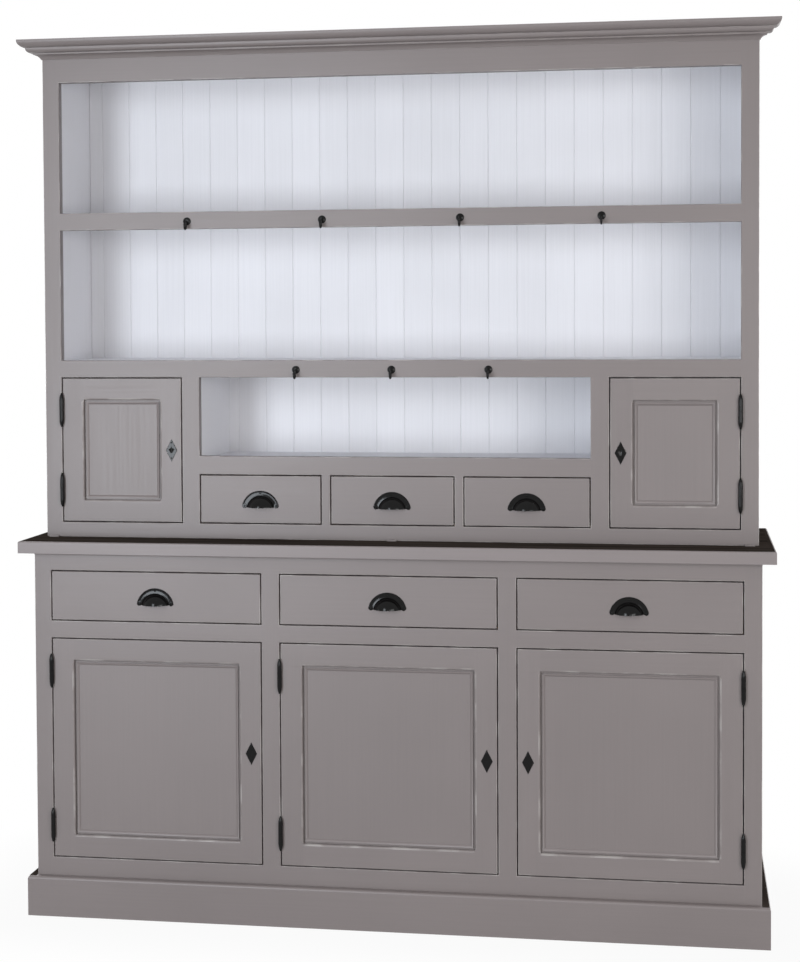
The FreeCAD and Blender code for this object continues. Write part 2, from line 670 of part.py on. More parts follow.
# Cup pull: half a dome of revolution on a wide flange, trimmed to a straight lip, with a round ear at each end
def make_pull():
    reach = "pull_flange + dome_depth"
    hollow = "dome_depth + pull_flange - dome_shell"
    rim = "dome_radius - dome_shell"
    dome = turned("pull_dome", [
        ("0", f"-({reach})"),
        ("dome_radius", "-pull_flange", "(dome_radius ^ 2 + dome_depth ^ 2) / (2 * dome_depth)"),
        ("pull_radius", "-pull_flange"),
        ("pull_radius", "0"),
        (rim, "0"),
        ("0", f"-({hollow})", f"-((({rim}) ^ 2 + ({hollow}) ^ 2) / (2 * ({hollow})))"),
    ], 180, True, "XY_Plane")
    place(dome, "0", "0", "-pull_drop")
    dome_edge = "sqrt(dome_radius ^ 2 - pull_drop ^ 2)"
    flange_depth = ("-pull_flange", "0")
    waste = [
        slab("below", ("-pull_radius", "pull_radius"), (f"-({reach})", "0"), ("-pull_drop", "0")),
        slab("left_end", ("-pull_radius", f"-{dome_edge}"), flange_depth, ("0", "ear_rise")),
        slab("right_end", (dome_edge, "pull_radius"), flange_depth, ("0", "ear_rise")),
    ]
    pieces = [cut("trimmed_dome", dome, fuse("waste", waste))]
    for side in ("-", ""):
        ear = doc.addObject("Part::Cylinder", "ear")
        ear.setExpression("Radius", formula("ear_radius"))
        ear.setExpression("Height", formula("pull_flange"))
        ear.Placement.Rotation = FreeCAD.Rotation(FreeCAD.Vector(1, 0, 0), 90)
        pieces.append(place(ear, f"{side}(flange_end + flange_root) / 2", "0", "ear_rise"))
    return fuse("pull", pieces)


def make_drawer(name, left, low, width, height, front, length, pull):
    """A drawer whose front fills an opening, with its box behind it."""
    right = f"{left} + {width}"
    front_back = f"{front} + drawer_front"
    base = f"{low} + drawer_lift"
    box_top = f"{low} + {height} - door_gap - drawer_side_drop"
    box_back = f"{front_back} + {length}"
    outer = (f"{left} + drawer_play", f"{right} - drawer_play")
    inner = (f"{outer[0]} + drawer_side", f"{outer[1]} - drawer_side")
    bottom = f"{base} + drawer_bottom_rise"
    bottom_top = f"{bottom} + drawer_bottom"
    face_depth = (front, front_back)
    face_height = (f"{low} + door_gap", f"{low} + {height} - door_gap")
    node(name + "_front", slab("face", (f"{left} + door_gap", f"{right} - door_gap"), face_depth, face_height))
    side_depth = (front_back, box_back)
    side_height = (base, box_top)
    group(name + "_box", [
        slab("side", (outer[0], inner[0]), side_depth, side_height),
        slab("side", (inner[1], outer[1]), side_depth, side_height),
        slab("back", inner, (f"{box_back} - drawer_side", box_back), (bottom_top, box_top)),
        slab("bottom", inner, side_depth, (bottom, bottom_top)),
    ])
    lip = f"{low} + {height} / 2 - (pull_radius - pull_drop + ear_rise - ear_radius) / 2"
    node(name + "_pull", copy_of(pull, "pull", f"({left} + {right}) / 2", front, lip))


def make_doors():
    halves = {hand: make_hinge_halves(hand) for hand in (-1, 1)}
    lock_plate = make_lock_plate()
    hutch_size = ("hutch_low", "hutch_door_width", "niche_high - (hutch_low)", "hutch_front")
    base_size = ("base_door_low", "column_width", "base_door_height", "base_front")
    doors = [
        ("upper_left_door", "hutch_stile - hutch_half", hutch_size, -1),
        ("upper_right_door", "muntin_half", hutch_size, 1),
        ("lower_left_door", column_left(0), base_size, -1),
        ("lower_middle_door", column_left(1), base_size, -1),
        ("lower_right_door", column_left(2), base_size, 1),
    ]
    frame_halves = []
    for name, left, (low, width, height, front), hand in doors:
        frame_halves += make_door(name, left, low, width, height, front, hand, halves[hand], lock_plate)
    group("frame_hinge_halves", frame_halves)


def make_drawers():
    pull = make_pull()
    for column, side in enumerate(("left", "middle", "right")):
        make_drawer(f"upper_{side}_drawer", small_left(column), "hutch_low", "small_width",
                    "small_drawer_height", "hutch_front", "small_drawer_length", pull)
        make_drawer(f"lower_{side}_drawer", column_left(column), "base_drawer_low", "column_width",
                    "base_drawer_height", "base_front", "base_drawer_length", pull)


def check_and_write():
    doc.recompute()
    for thing in doc.Objects:
        if "Invalid" in thing.State or "Error" in thing.State:
            raise RuntimeError(f"{thing.Label} did not build: {thing.State}")
    os.makedirs("parts", exist_ok=True)
    for label, thing in NODES.items():
        shape = Part.getShape(thing)
        if shape.isNull() or not shape.isValid():
            raise RuntimeError(f"{label} has no valid shape")
    for label, thing in NODES.items():
        shape = Part.getShape(thing)
        shape.exportStep(f"parts/{label}.step")
        print(label, len(shape.Solids), round(shape.Volume))


make_base()
make_base_face_frame()
make_plinth()
make_worktop()
make_hutch()
make_hutch_face_frame()
make_back_boards()
make_cornice()
make_hooks()
make_doors()
make_drawers()
check_and_write()
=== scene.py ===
import json
import math
import random

import bmesh
import bpy
from mathutils import Matrix, Vector


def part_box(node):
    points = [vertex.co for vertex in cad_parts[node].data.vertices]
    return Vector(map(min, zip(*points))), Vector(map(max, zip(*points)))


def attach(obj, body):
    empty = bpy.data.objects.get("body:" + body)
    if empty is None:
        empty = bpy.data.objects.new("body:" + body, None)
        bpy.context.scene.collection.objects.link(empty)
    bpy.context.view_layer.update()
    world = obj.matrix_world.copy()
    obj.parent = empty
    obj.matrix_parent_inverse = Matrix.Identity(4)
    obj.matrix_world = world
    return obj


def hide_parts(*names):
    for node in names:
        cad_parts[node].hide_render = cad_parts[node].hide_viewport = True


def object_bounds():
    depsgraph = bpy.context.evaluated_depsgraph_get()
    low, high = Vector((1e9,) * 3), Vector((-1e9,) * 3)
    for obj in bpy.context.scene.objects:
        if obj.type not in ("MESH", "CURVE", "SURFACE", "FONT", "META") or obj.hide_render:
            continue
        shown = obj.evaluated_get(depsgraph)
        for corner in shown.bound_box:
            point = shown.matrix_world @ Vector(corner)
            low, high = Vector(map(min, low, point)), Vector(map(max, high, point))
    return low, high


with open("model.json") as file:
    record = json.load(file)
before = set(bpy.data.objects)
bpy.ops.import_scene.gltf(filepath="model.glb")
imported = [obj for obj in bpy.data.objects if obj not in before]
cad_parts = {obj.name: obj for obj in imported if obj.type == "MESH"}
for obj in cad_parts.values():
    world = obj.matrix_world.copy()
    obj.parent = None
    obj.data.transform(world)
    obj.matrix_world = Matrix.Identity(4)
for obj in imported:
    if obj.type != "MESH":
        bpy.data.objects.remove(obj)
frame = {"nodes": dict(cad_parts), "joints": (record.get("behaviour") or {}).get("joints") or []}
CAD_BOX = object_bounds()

bl_info = {
    "name": "Kitchen dresser finish",
    "version": (1, 0, 0),
    "blender": (4, 5, 0),
    "location": "View3D > Sidebar > Dresser",
    "description": "Joinery, paint, ironwork and studio for a painted kitchen dresser",
    "category": "Object",
}

# Lengths are in metres; MM turns millimetres into them
MM = 0.001
# Boards that are closer than this touch each other
TOUCH = 0.3 * MM
# Corners that are closer than this are one, on new meshes and on copies of CAD nodes
MERGE = 0.002 * MM
NODE_MERGE = 0.01 * MM
# Corners that are closer than this to a cut lie on it, on boards and on ironwork
BOARD_CUT = 0.001 * MM
IRON_CUT = 0.0005 * MM
# Degrees between faces up to which mouldings and ironwork look smooth
ROUND_ANGLE = 35
# A face that leans this far along a board's length is end grain
END_GRAIN = 0.8
FULL_TURN = 2 * math.pi
X_AXIS = Vector((1, 0, 0))
Y_AXIS = Vector((0, 1, 0))
Z_AXIS = Vector((0, 0, 1))
WHITE = (1.0, 1.0, 1.0)
DOORS = ("upper_left_door", "upper_right_door", "lower_left_door", "lower_middle_door", "lower_right_door")
DRAWERS = [f"{level}_{side}_drawer" for level in ("upper", "lower") for side in ("left", "middle", "right")]
JOINTS = {joint["child"]: joint for joint in frame["joints"]}


def number(name, description, default, **kind):
    return bpy.props.FloatProperty(name=name, description=description, default=default, **kind)


def numbers(name, description, default, **kind):
    return bpy.props.FloatVectorProperty(name=name, description=description, default=default,
                                         size=len(default), **kind)


def colour_property(name, description, default):
    return numbers(name, description, default, subtype="COLOR", min=0.0, max=1.0)


def length(name, description, millimetres):
    return number(name, description, millimetres * MM, subtype="DISTANCE", unit="LENGTH", min=0.0)


def power(name, description, watts):
    return number(name, description, watts, unit="POWER", min=0.0)


def angle(name, description, radians):
    return number(name, description, radians, subtype="ANGLE", unit="ROTATION")


def share(name, description, default):
    return number(name, description, default, subtype="FACTOR", min=0.0, max=1.0)


def group(kind, name, description):
    return bpy.props.PointerProperty(type=kind, name=name, description=description)


class DresserFinishes(bpy.types.PropertyGroup):
    """Colours of the paints, woods and metals."""
    paint: colour_property("Paint", "Grey paint of the fronts, frames and mouldings", (0.193, 0.165, 0.160))
    # The undercoat colour shows on rubbed arrises and also serves as a painted highlight along every eased
    # edge
    rubbed_and_highlit: colour_property("Rubbed edge", "Undercoat on rubbed arrises", (0.42, 0.39, 0.37))
    # The lipping's lighter grey is a painted highlight for the light that falls on the worktop's rounded
    # edge
    edge: colour_property("Worktop edge", "Lighter grey of the worktop's lipping", (0.212, 0.182, 0.178))
    lining: colour_property("Lining", "Off-white paint of the shelves and boards", (0.757, 0.752, 0.778))
    oak: colour_property("Worktop", "Dark oiled wood of the worktop", (0.046, 0.037, 0.032))
    pine: colour_property("Pine", "Bare pine of the drawer boxes and runners", (0.56, 0.37, 0.20))
    iron: colour_property("Ironwork", "Black lacquer of the ironwork", (0.0035, 0.0032, 0.0032))
    steel: colour_property("Steel", "Lock bolts", (0.52, 0.51, 0.50))


class DresserEdges(bpy.types.PropertyGroup):
    """How far the corners of each kind of piece are eased."""
    joinery: length("Joinery arris", "Easing on frames, doors, fronts and shelves", 1.7)
    boards: length("Board arris", "Easing on boards, panels, drawer boxes and the worktop", 0.5)
    mouldings: length("Moulding arris", "Easing on the sharp lines of mouldings", 0.5)
    beads: length("Bead arris", "Easing on the beads round the doors' panels", 0.3)
    ironwork: length("Iron arris", "Easing on lock plates, cases and bolts", 0.35)


class DresserMouldings(bpy.types.PropertyGroup):
    """Sizes of the moulded profiles."""
    plinth_nose: length("Plinth nose", "Radius along the plinth's top edge", 7.0)
    lipping_nose: length("Lipping nose", "Radius along the worktop's top edge", 4.0)
    cove: length("Cove", "Size of the cove under the worktop", 7.0)
    panel_round: length("Panel round-over", "Radius of a door frame's edge along its panel", 5.0)
    panel_quirk: length("Panel quirk", "Groove between a door's frame and the bead", 4.6)
    panel_base: length("Panel quirk floor", "Height of the groove's floor over the panel", 0.3)
    panel_step: length("Panel step", "Height of the bead's outer side over the groove", 4.0)
    panel_bead: length("Panel bead", "Width of the bead round a door's panel", 6.5)
    panel_fall: length("Panel fall", "How much lower the bead is next to the panel", 4.1)
    panel_bead_radius: length("Panel bead radius", "Radius of the bead round a door's panel", 12.0)
    veneer: length("Veneer", "Thickness of the dark veneer over the lipping", 0.5)


class DresserIronwork(bpy.types.PropertyGroup):
    """Sizes of the pulls, hinges, hooks and plates."""
    flange_radius: length("Flange radius", "Outer radius of a cup pull's flange", 48.0)
    flange_thickness: length("Flange thickness", "Thickness of a cup pull's flange", 2.0)
    dome_radius: length("Dome radius", "Radius of a cup pull's dome at the flange", 35.5)
    dome_depth: length("Dome depth", "How far the dome stands out of the flange", 22.0)
    dome_shell: length("Dome shell", "Thickness of the dome", 2.0)
    lip_rise: length("Lip rise", "Height of the lip over the dome's axis", 6.0)
    ear_rise: length("Ear rise", "Height of the ears' middles over the lip", 4.0)
    screw_radius: length("Screw radius", "Radius of the screw heads", 2.7)
    barrel_radius: length("Barrel radius", "Radius of a hinge's barrel", 5.6)
    barrel_straight: length("Barrel straight", "Half the length of a barrel's straight part", 24.0)
    barrel_half: length("Barrel half", "Half the length of a hinge", 43.0)
    barrel_tip: length("Barrel tip", "Radius of a barrel's ends", 1.6)
    barrel_ease: length("Barrel easing", "Easing where a hinge's two halves meet", 0.4)
    ogive_radius: length("Ogive radius", "Radius of the taper towards a barrel's ends", 47.2)
    knuckle_gap: length("Knuckle gap", "Half the gap between a hinge's two halves", 0.15)
    leaf_half: length("Leaf half", "Half the length of a hinge's leaves", 17.0)
    leaf_reach: length("Leaf reach", "How far a leaf reaches behind the hinge's axis", 24.0)
    leaf_outside: length("Leaf outside", "Distance of a leaf's outer face from the axis", 1.25)
    leaf_inside: length("Leaf inside", "Distance of a leaf's inner face from the axis", 0.25)
    plate_width: length("Plate width", "Width of a lock plate", 28.5)
    plate_height: length("Plate height", "Height of a lock plate", 56.0)
    keyhole_radius: length("Keyhole radius", "Radius of a keyhole's round", 3.0)
    keyhole_slot: length("Keyhole slot", "Width of a keyhole's slot", 5.6)
    keyhole_drop: length("Keyhole drop", "Depth of a keyhole's slot under its middle", 10.5)
    case_inset: length("Case inset", "Distance of a lock case's screws from its edges", 6.0)
    wire_radius: length("Wire radius", "Radius of a hook's wire", 2.6)
    hook_stem: length("Hook stem", "Straight length out of the rail", 6.0)
    hook_bend: length("Hook bend", "Radius of the upper bend", 4.0)
    hook_drop: length("Hook drop", "Straight length downwards", 9.5)
    hook_throat: length("Hook throat", "Radius of the hook itself", 7.0)
    hook_tip: length("Hook tip", "Straight length up to the ball", 4.0)
    hook_ball: length("Hook ball", "Radius of the ball", 3.4)
    rose_radius: length("Rose radius", "Radius of a hook's rose", 10.0)
    rose_thickness: length("Rose thickness", "Thickness of a hook's rose", 3.0)


class DresserStage(bpy.types.PropertyGroup):
    """Camera and light."""
    camera_place: numbers("Camera", "Where the camera stands", (0.70581, -4.51023, 1.47914),
                          subtype="TRANSLATION", unit="LENGTH")
    camera_yaw: angle("Yaw", "Turn of the camera to the left", 0.1544)
    camera_pitch: angle("Pitch", "Tilt of the camera upwards", -0.0312)
    camera_roll: angle("Roll", "Turn of the camera about its line of sight", -0.0049)
    camera_lens: number("Lens", "Focal length on a 36 mm sensor", 67.07, unit="CAMERA")
    camera_shift: numbers("Shift", "Lens shift to the right and up", (-0.00156, -0.1031))
    key_power: power("Low key light", "Soft light from the front left", 72.0)
    high_power: power("High key light", "Soft light from above the low key light", 54.0)
    key_tint: colour_property("Key tint", "Colour of the two key lights", (0.87, 0.93, 1.0))
    front_power: power("Front light", "Soft light from the front right", 26.0)
    side_power: power("Side light", "Soft light from the right", 50.0)
    back_power: power("Back light", "Soft lights from behind on both sides", 60.0)
    sky_low: share("Low sky", "Strength of the light along the ground", 0.12)
    sky_high: share("High sky", "Strength of the light from overhead", 0.65)
    floor_grey: share("Floor grey", "How much light the floor throws back", 0.35)
    floor_white: share("Floor white", "Share of plain white next to the plinth", 0.94)
    floor_fade: length("Floor fade", "Distance over which the floor turns all white", 450.0)


class DresserSettings(bpy.types.PropertyGroup):
    """Everything that can be changed on the dresser."""
    finishes: group(DresserFinishes, "Finishes", "Colours")
    edges: group(DresserEdges, "Edges", "Eased corners")
    mouldings: group(DresserMouldings, "Mouldings", "Profiles")
    ironwork: group(DresserIronwork, "Ironwork", "Metal pieces")
    stage: group(DresserStage, "Stage", "Camera and light")


def settings():
    return bpy.context.scene.dresser


# Meshes
def linked_groups(bm):
    """Faces grouped into solids; solids that only touch along an edge stay apart."""
    unseen = set(bm.faces)
    groups = []
    for seed in bm.faces:
        if seed not in unseen:
            continue
        unseen.discard(seed)
        group = [seed]
        for face in group:
            for edge in face.edges:
                if len(edge.link_faces) != 2:
                    continue
                for neighbour in edge.link_faces:
                    if neighbour in unseen:
                        unseen.discard(neighbour)
                        group.append(neighbour)
        groups.append(group)
    return groups


def solids(bm):
    """The faces of each numbered solid, or of each linked group where the solids aren't numbered."""
    number = bm.faces.layers.int.get("solid")
    if number is None:
        return linked_groups(bm)
    groups = {}
    for face in bm.faces:
        groups.setdefault(face[number], []).append(face)
    return [groups[key] for key in sorted(groups)]


def span_of(faces):
    """Lowest and highest corner of some faces."""
    spots = [vert.co for face in faces for vert in face.verts]
    return Vector(map(min, *spots)), Vector(map(max, *spots))


def copy_of_node(node):
    """A merged copy of a CAD node with numbered solids, parted where they touch, and whole flat faces."""
    bm = bmesh.new()
    bm.from_mesh(frame["nodes"][node].data)
    bmesh.ops.remove_doubles(bm, verts=bm.verts, dist=NODE_MERGE)
    number = bm.faces.layers.int.new("solid")
    for index, group in enumerate(linked_groups(bm)):
        for face in group:
            face[number] = index
    for group in solids(bm)[1:]:
        bmesh.ops.split(bm, geom=group, use_only_faces=True)
    bmesh.ops.dissolve_limit(bm, angle_limit=math.radians(1), verts=bm.verts, edges=bm.edges)
    return bm


def keep_solids(bm, wanted):
    """Leave only the solids whose lowest and highest corner pass a test."""
    for group in solids(bm):
        if not wanted(*span_of(group)):
            bmesh.ops.delete(bm, geom=group, context="FACES")


def within(spot, low, high):
    return all(low[axis] - TOUCH <= spot[axis] <= high[axis] + TOUCH for axis in range(3))


def touching(span, other):
    return all(span[0][axis] - TOUCH <= other[1][axis] and other[0][axis] - TOUCH <= span[1][axis]
               for axis in range(3))


def cut(bm, spot, way, faces=None, slack=BOARD_CUT, clear=False):
    """Cut some faces, or the whole mesh, along a plane, and clear what lies beyond it if asked to."""
    if faces is None:
        parts = [*bm.verts, *bm.edges, *bm.faces]
    else:
        parts = [*faces, *dict.fromkeys(part for face in faces for part in (*face.edges, *face.verts))]
    bmesh.ops.bisect_plane(bm, geom=parts, dist=slack, plane_co=spot, plane_no=way, clear_outer=clear)


def score_joints(bm):
    """Cut each board where the side of another meets it, so that its arris can stop there."""
    spans = [span_of(group) for group in solids(bm)]
    for index, span in enumerate(spans):
        for other_index, other in enumerate(spans):
            if other_index == index or not touching(span, other):
                continue
            for axis, way in enumerate((X_AXIS, Y_AXIS, Z_AXIS)):
                for level in (other[0][axis], other[1][axis]):
                    if span[0][axis] + MM < level < span[1][axis] - MM:
                        cut(bm, way * level, way, solids(bm)[index])
    return spans


def rub_and_highlight_layer(bm):
    """How much each face is rubbed and lightened as a painted highlight, from 0 to 1."""
    return bm.faces.layers.float.get("arris") or bm.faces.layers.float.new("arris")


def round_off(bm, edges, radius, mark, segments, rubbed_and_highlit):
    """Bevel some edges and mark how much the new faces are rubbed and lightened as a painted highlight."""
    made = bmesh.ops.bevel(bm, geom=edges, offset=radius, offset_type="OFFSET", segments=segments,
                           profile=0.5, affect="EDGES", clamp_overlap=True, material=-1)
    for face in made["faces"]:
        face[mark] = rubbed_and_highlit


def ease(bm, width, least_angle=28, jointed=False):
    """Round off the sharp edges, except where boards are jointed, and mark the new faces as arrises, which
    the paint lightens for wear and as a painted highlight.
    """
    mark = rub_and_highlight_layer(bm)
    number = bm.faces.layers.int.get("solid")
    spans = score_joints(bm) if jointed else []
    sharp = []
    for edge in bm.edges:
        if not edge.is_manifold or edge.calc_face_angle(0.0) < math.radians(least_angle):
            continue
        middle = (edge.verts[0].co + edge.verts[1].co) / 2
        own = edge.link_faces[0][number] if jointed else None
        if not any(within(middle, *span) for index, span in enumerate(spans) if index != own):
            sharp.append(edge)
    round_off(bm, sharp, width, mark, segments=2, rubbed_and_highlit=1.0)


def lay_grain(bm, seed, by_face):
    """Give every face a UV whose U runs along the grain, and every board its own shade and offset."""
    draw = random.Random(seed)
    furthest = 20
    uv = bm.loops.layers.uv.new("grain")
    tone = bm.faces.layers.float.new("tone")
    for group in solids(bm):
        low, high = span_of(group)
        shade = draw.random()
        shift = Vector((draw.uniform(0, furthest), draw.uniform(0, furthest)))
        for face in group:
            face[tone] = shade
            run = high - low
            if by_face:
                longest = max(face.edges, key=lambda edge: edge.calc_length())
                run = longest.verts[0].co - longest.verts[1].co
            along = max(range(3), key=lambda axis: abs(run[axis]))
            if abs(face.normal[along]) > END_GRAIN:
                along = (along + 1) % 3
            others = [axis for axis in range(3) if axis != along]
            across = min(others, key=lambda axis: abs(face.normal[axis]))
            for loop in face.loops:
                spot = loop.vert.co
                loop[uv].uv = shift + Vector((spot[along], spot[across]))


def mesh_from(bm, name):
    """Turn a finished bmesh into a mesh."""
    mesh = bpy.data.meshes.new(name)
    bm.to_mesh(mesh)
    bm.free()
    return mesh


def object_from(data, name):
    """Put a mesh, light or camera into the scene."""
    made = bpy.data.objects.new(name, data)
    bpy.context.scene.collection.objects.link(made)
    return made


def finish_piece(bm, name, body, material, nodes=(), smooth_angle=30, by_face=False):
    """Turn a bmesh into a piece that rides on a body and may stand for CAD nodes."""
    lay_grain(bm, name, by_face)
    mesh = mesh_from(bm, name)
    mesh.polygons.foreach_set("use_smooth", [True] * len(mesh.polygons))
    mesh.set_sharp_from_angle(angle=math.radians(smooth_angle))
    mesh.materials.append(finish(material))
    piece = object_from(mesh, name)
    even = piece.modifiers.new("even_shading", "WEIGHTED_NORMAL")
    even.keep_sharp = True
    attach(piece, body)
    if nodes:
        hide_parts(*nodes)


def jointed_copy(node, name, body, material, arris, jointed=True):
    """Replace a CAD node by a copy with eased arrises and laid grain."""
    bm = copy_of_node(node)
    ease(bm, arris, jointed=jointed)
    finish_piece(bm, name, body, material, [node])


def box_into(bm, low, high):
    """Add a box between two corners."""
    low, high = Vector(low), Vector(high)
    size = Matrix.Diagonal((*(high - low), 1.0))
    bmesh.ops.create_cube(bm, size=1.0, matrix=Matrix.Translation((low + high) / 2) @ size)


def chain_into(bm, spots, closed=False):
    """Add a run of edges through some spots."""
    verts = [bm.verts.new(spot) for spot in spots]
    ends = verts[1:] + verts[:1] if closed else verts[1:]
    return [bm.edges.new(pair) for pair in zip(verts, ends)]


def verts_of(edges):
    return list(dict.fromkeys(vert for edge in edges for vert in edge.verts))


def edges_in(parts):
    return [part for part in parts if isinstance(part, bmesh.types.BMEdge)]


def arc_spots(start, finish_spot, radius, steps):
    """Spots on the short arc after a start; a positive radius turns left and a negative one right."""
    chord = finish_spot - start
    left = Vector((-chord.y, chord.x)).normalized()
    reach = math.sqrt(max(0.0, radius ** 2 - chord.length_squared / 4))
    centre = (start + finish_spot) / 2 + left * math.copysign(reach, radius)
    first, last = start - centre, finish_spot - centre
    turn = math.atan2(first.x * last.y - first.y * last.x, first.dot(last))
    return [centre + Matrix.Rotation(turn * step / steps, 2) @ first for step in range(1, steps + 1)]


def profile(moves, start=(0.0, 0.0), steps=8):
    """Spots of a profile that is given by moves, each with an arc's radius if it is curved."""
    spots = [Vector(start)]
    for across, up, *radius in moves:
        goal = spots[-1] + Vector((across, up))
        spots += arc_spots(spots[-1], goal, radius[0], steps) if radius else [goal]
    return spots


def extrude_through(bm, ring, moves):
    """Extrude a ring of edges through a list of moves of its corners."""
    for move in moves:
        made = bmesh.ops.extrude_edge_only(bm, edges=ring)["geom"]
        corners = {part for part in made if isinstance(part, bmesh.types.BMVert)}
        for vert in corners:
            vert.co = move(vert.co)
        ring = [edge for edge in edges_in(made) if corners.issuperset(edge.verts)]
    return ring


def wrap_moulding(bm, spots, side, front, back, low):
    """Run a profile round the right side, front and left side of a carcass, with mitred corners."""
    first = chain_into(bm, [(side + spot.x, back, low + spot.y) for spot in spots], closed=True)
    last = extrude_through(bm, first, (
        lambda spot: (spot.x, front - (spot.x - side), spot.z),
        lambda spot: (-spot.x, spot.y, spot.z),
        lambda spot: (spot.x, back, spot.z),
    ))
    for ring in (first, last):
        bmesh.ops.edgeloop_fill(bm, edges=ring)


def frame_moulding(bm, spots, low, high, face):
    """Run a profile of (inwards, forwards) round the four sides of a panel, with mitred corners."""
    middle = (low + high) / 2
    first = chain_into(bm, [(low.x + spot.x, face - spot.y, low.z + spot.x) for spot in spots], closed=True)

    def across(spot):
        return (2 * middle.x - spot.x, spot.y, spot.z)

    def upright(spot):
        return (spot.x, spot.y, 2 * middle.z - spot.z)

    extrude_through(bm, first, (across, upright, across, upright))


def sweep(bm, ring, axis, centre, turn, steps):
    """Turn a run of edges about an axis and give the edges at the far end."""
    made = bmesh.ops.spin(bm, geom=verts_of(ring) + ring, axis=axis, cent=centre, angle=turn, steps=steps,
                          use_merge=turn >= FULL_TURN, use_duplicate=False)
    return edges_in(made["geom_last"])


def spin_into(bm, spots, axis, steps, centre=(0, 0, 0), turn=FULL_TURN):
    """Turn a run of spots about an axis."""
    sweep(bm, chain_into(bm, spots), axis, centre, turn, steps)


def close_up(bm):
    """Merge doubled corners and turn the faces outwards."""
    bmesh.ops.remove_doubles(bm, verts=bm.verts, dist=MERGE)
    bmesh.ops.recalc_face_normals(bm, faces=bm.faces)


def stamp_from(bm):
    """A small mesh that can be put in many places."""
    close_up(bm)
    return mesh_from(bm, "stamp")


def stamp_into(bm, stamp, place):
    """Add a copy of a small mesh at a place."""
    before = set(bm.verts)
    bm.from_mesh(stamp)
    bmesh.ops.transform(bm, matrix=place, verts=[vert for vert in bm.verts if vert not in before])


def part_into(bm, part, place=Matrix()):
    """Add a part that is needed only once at a place."""
    stamp = stamp_from(part)
    stamp_into(bm, stamp, place)
    bpy.data.meshes.remove(stamp)


def facing_front(spot, turn=0.0):
    """Place with its Z out of a front and its Y up, turned about the way out."""
    return Matrix.Translation(spot) @ Matrix.Rotation(math.pi / 2, 4, "X") @ Matrix.Rotation(turn, 4, "Z")


# Materials
class Nodes:
    """Adds and links the nodes of a material or a world."""

    def __init__(self, owner):
        owner.use_nodes = True
        self.owner = owner
        self.tree = owner.node_tree

    def feed(self, node, sockets):
        """Link or set some sockets of a node."""
        for socket, value in sockets.items():
            if isinstance(value, bpy.types.NodeSocket):
                self.tree.links.new(value, node.inputs[socket])
            else:
                node.inputs[socket].default_value = value
        return node

    def add(self, kind, sockets, **choices):
        node = self.tree.nodes.new("ShaderNode" + kind)
        for key, value in choices.items():
            setattr(node, key, value)
        return self.feed(node, sockets)

    def shader(self, sockets):
        """Link or set some sockets of the material's own shader."""
        return self.feed(self.tree.nodes["Principled BSDF"], sockets)

    def grain_noise(self, along, across, detail=3.0):
        """Noise stretched along the grain, in features per metre."""
        grain = self.add("UVMap", {}, uv_map="grain").outputs["UV"]
        scaled = self.add("Mapping", {"Vector": grain, "Scale": (along, across, 1.0)}).outputs["Vector"]
        noise = self.add("TexNoise", {"Vector": scaled, "Scale": 1.0, "Detail": detail, "Roughness": 0.55})
        return noise.outputs["Fac"]

    def noise(self, scale, detail=2.0):
        """Noise that runs through the whole piece, in features per metre."""
        place = self.add("TexCoord", {}).outputs["Object"]
        return self.add("TexNoise", {"Vector": place, "Scale": scale, "Detail": detail}).outputs["Fac"]

    def math(self, operation, first, second=0.0):
        return self.add("Math", {0: first, 1: second}, operation=operation).outputs[0]

    def ranged(self, source, low, high, to_low, to_high, smooth=False):
        kind = "SMOOTHSTEP" if smooth else "LINEAR"
        return self.add("MapRange", {"Value": source, "From Min": low, "From Max": high, "To Min": to_low,
                                     "To Max": to_high}, interpolation_type=kind).outputs["Result"]

    def mixed(self, factor, first, second):
        return self.add("Mix", {0: factor, 6: first, 7: second}, data_type="RGBA").outputs[2]

    def brightened(self, colour, level):
        return self.add("HueSaturation", {"Color": colour, "Value": level}).outputs["Color"]

    def attribute(self, name):
        return self.add("Attribute", {}, attribute_name=name).outputs["Fac"]

    def bump(self, height, strength, distance):
        made = self.add("Bump", {"Height": height, "Strength": strength, "Distance": distance})
        self.shader({"Normal": made.outputs["Normal"]})

    def seen(self):
        """1 for what the camera sees straight, in a gloss or through glass."""
        rays = self.add("LightPath", {}).outputs
        bounced = self.math("MAXIMUM", rays["Is Glossy Ray"], rays["Is Transmission Ray"])
        return self.math("MAXIMUM", rays["Is Camera Ray"], bounced)

    def surface(self, output, factor, first, second):
        """Mix two shaders into an output."""
        both = self.add("MixShader", {0: factor, 1: first.outputs[0], 2: second.outputs[0]})
        self.feed(self.tree.nodes[output], {"Surface": both.outputs[0]})


def shade_of(colour, factor):
    return (*[min(1.0, channel * factor) for channel in colour], 1.0)


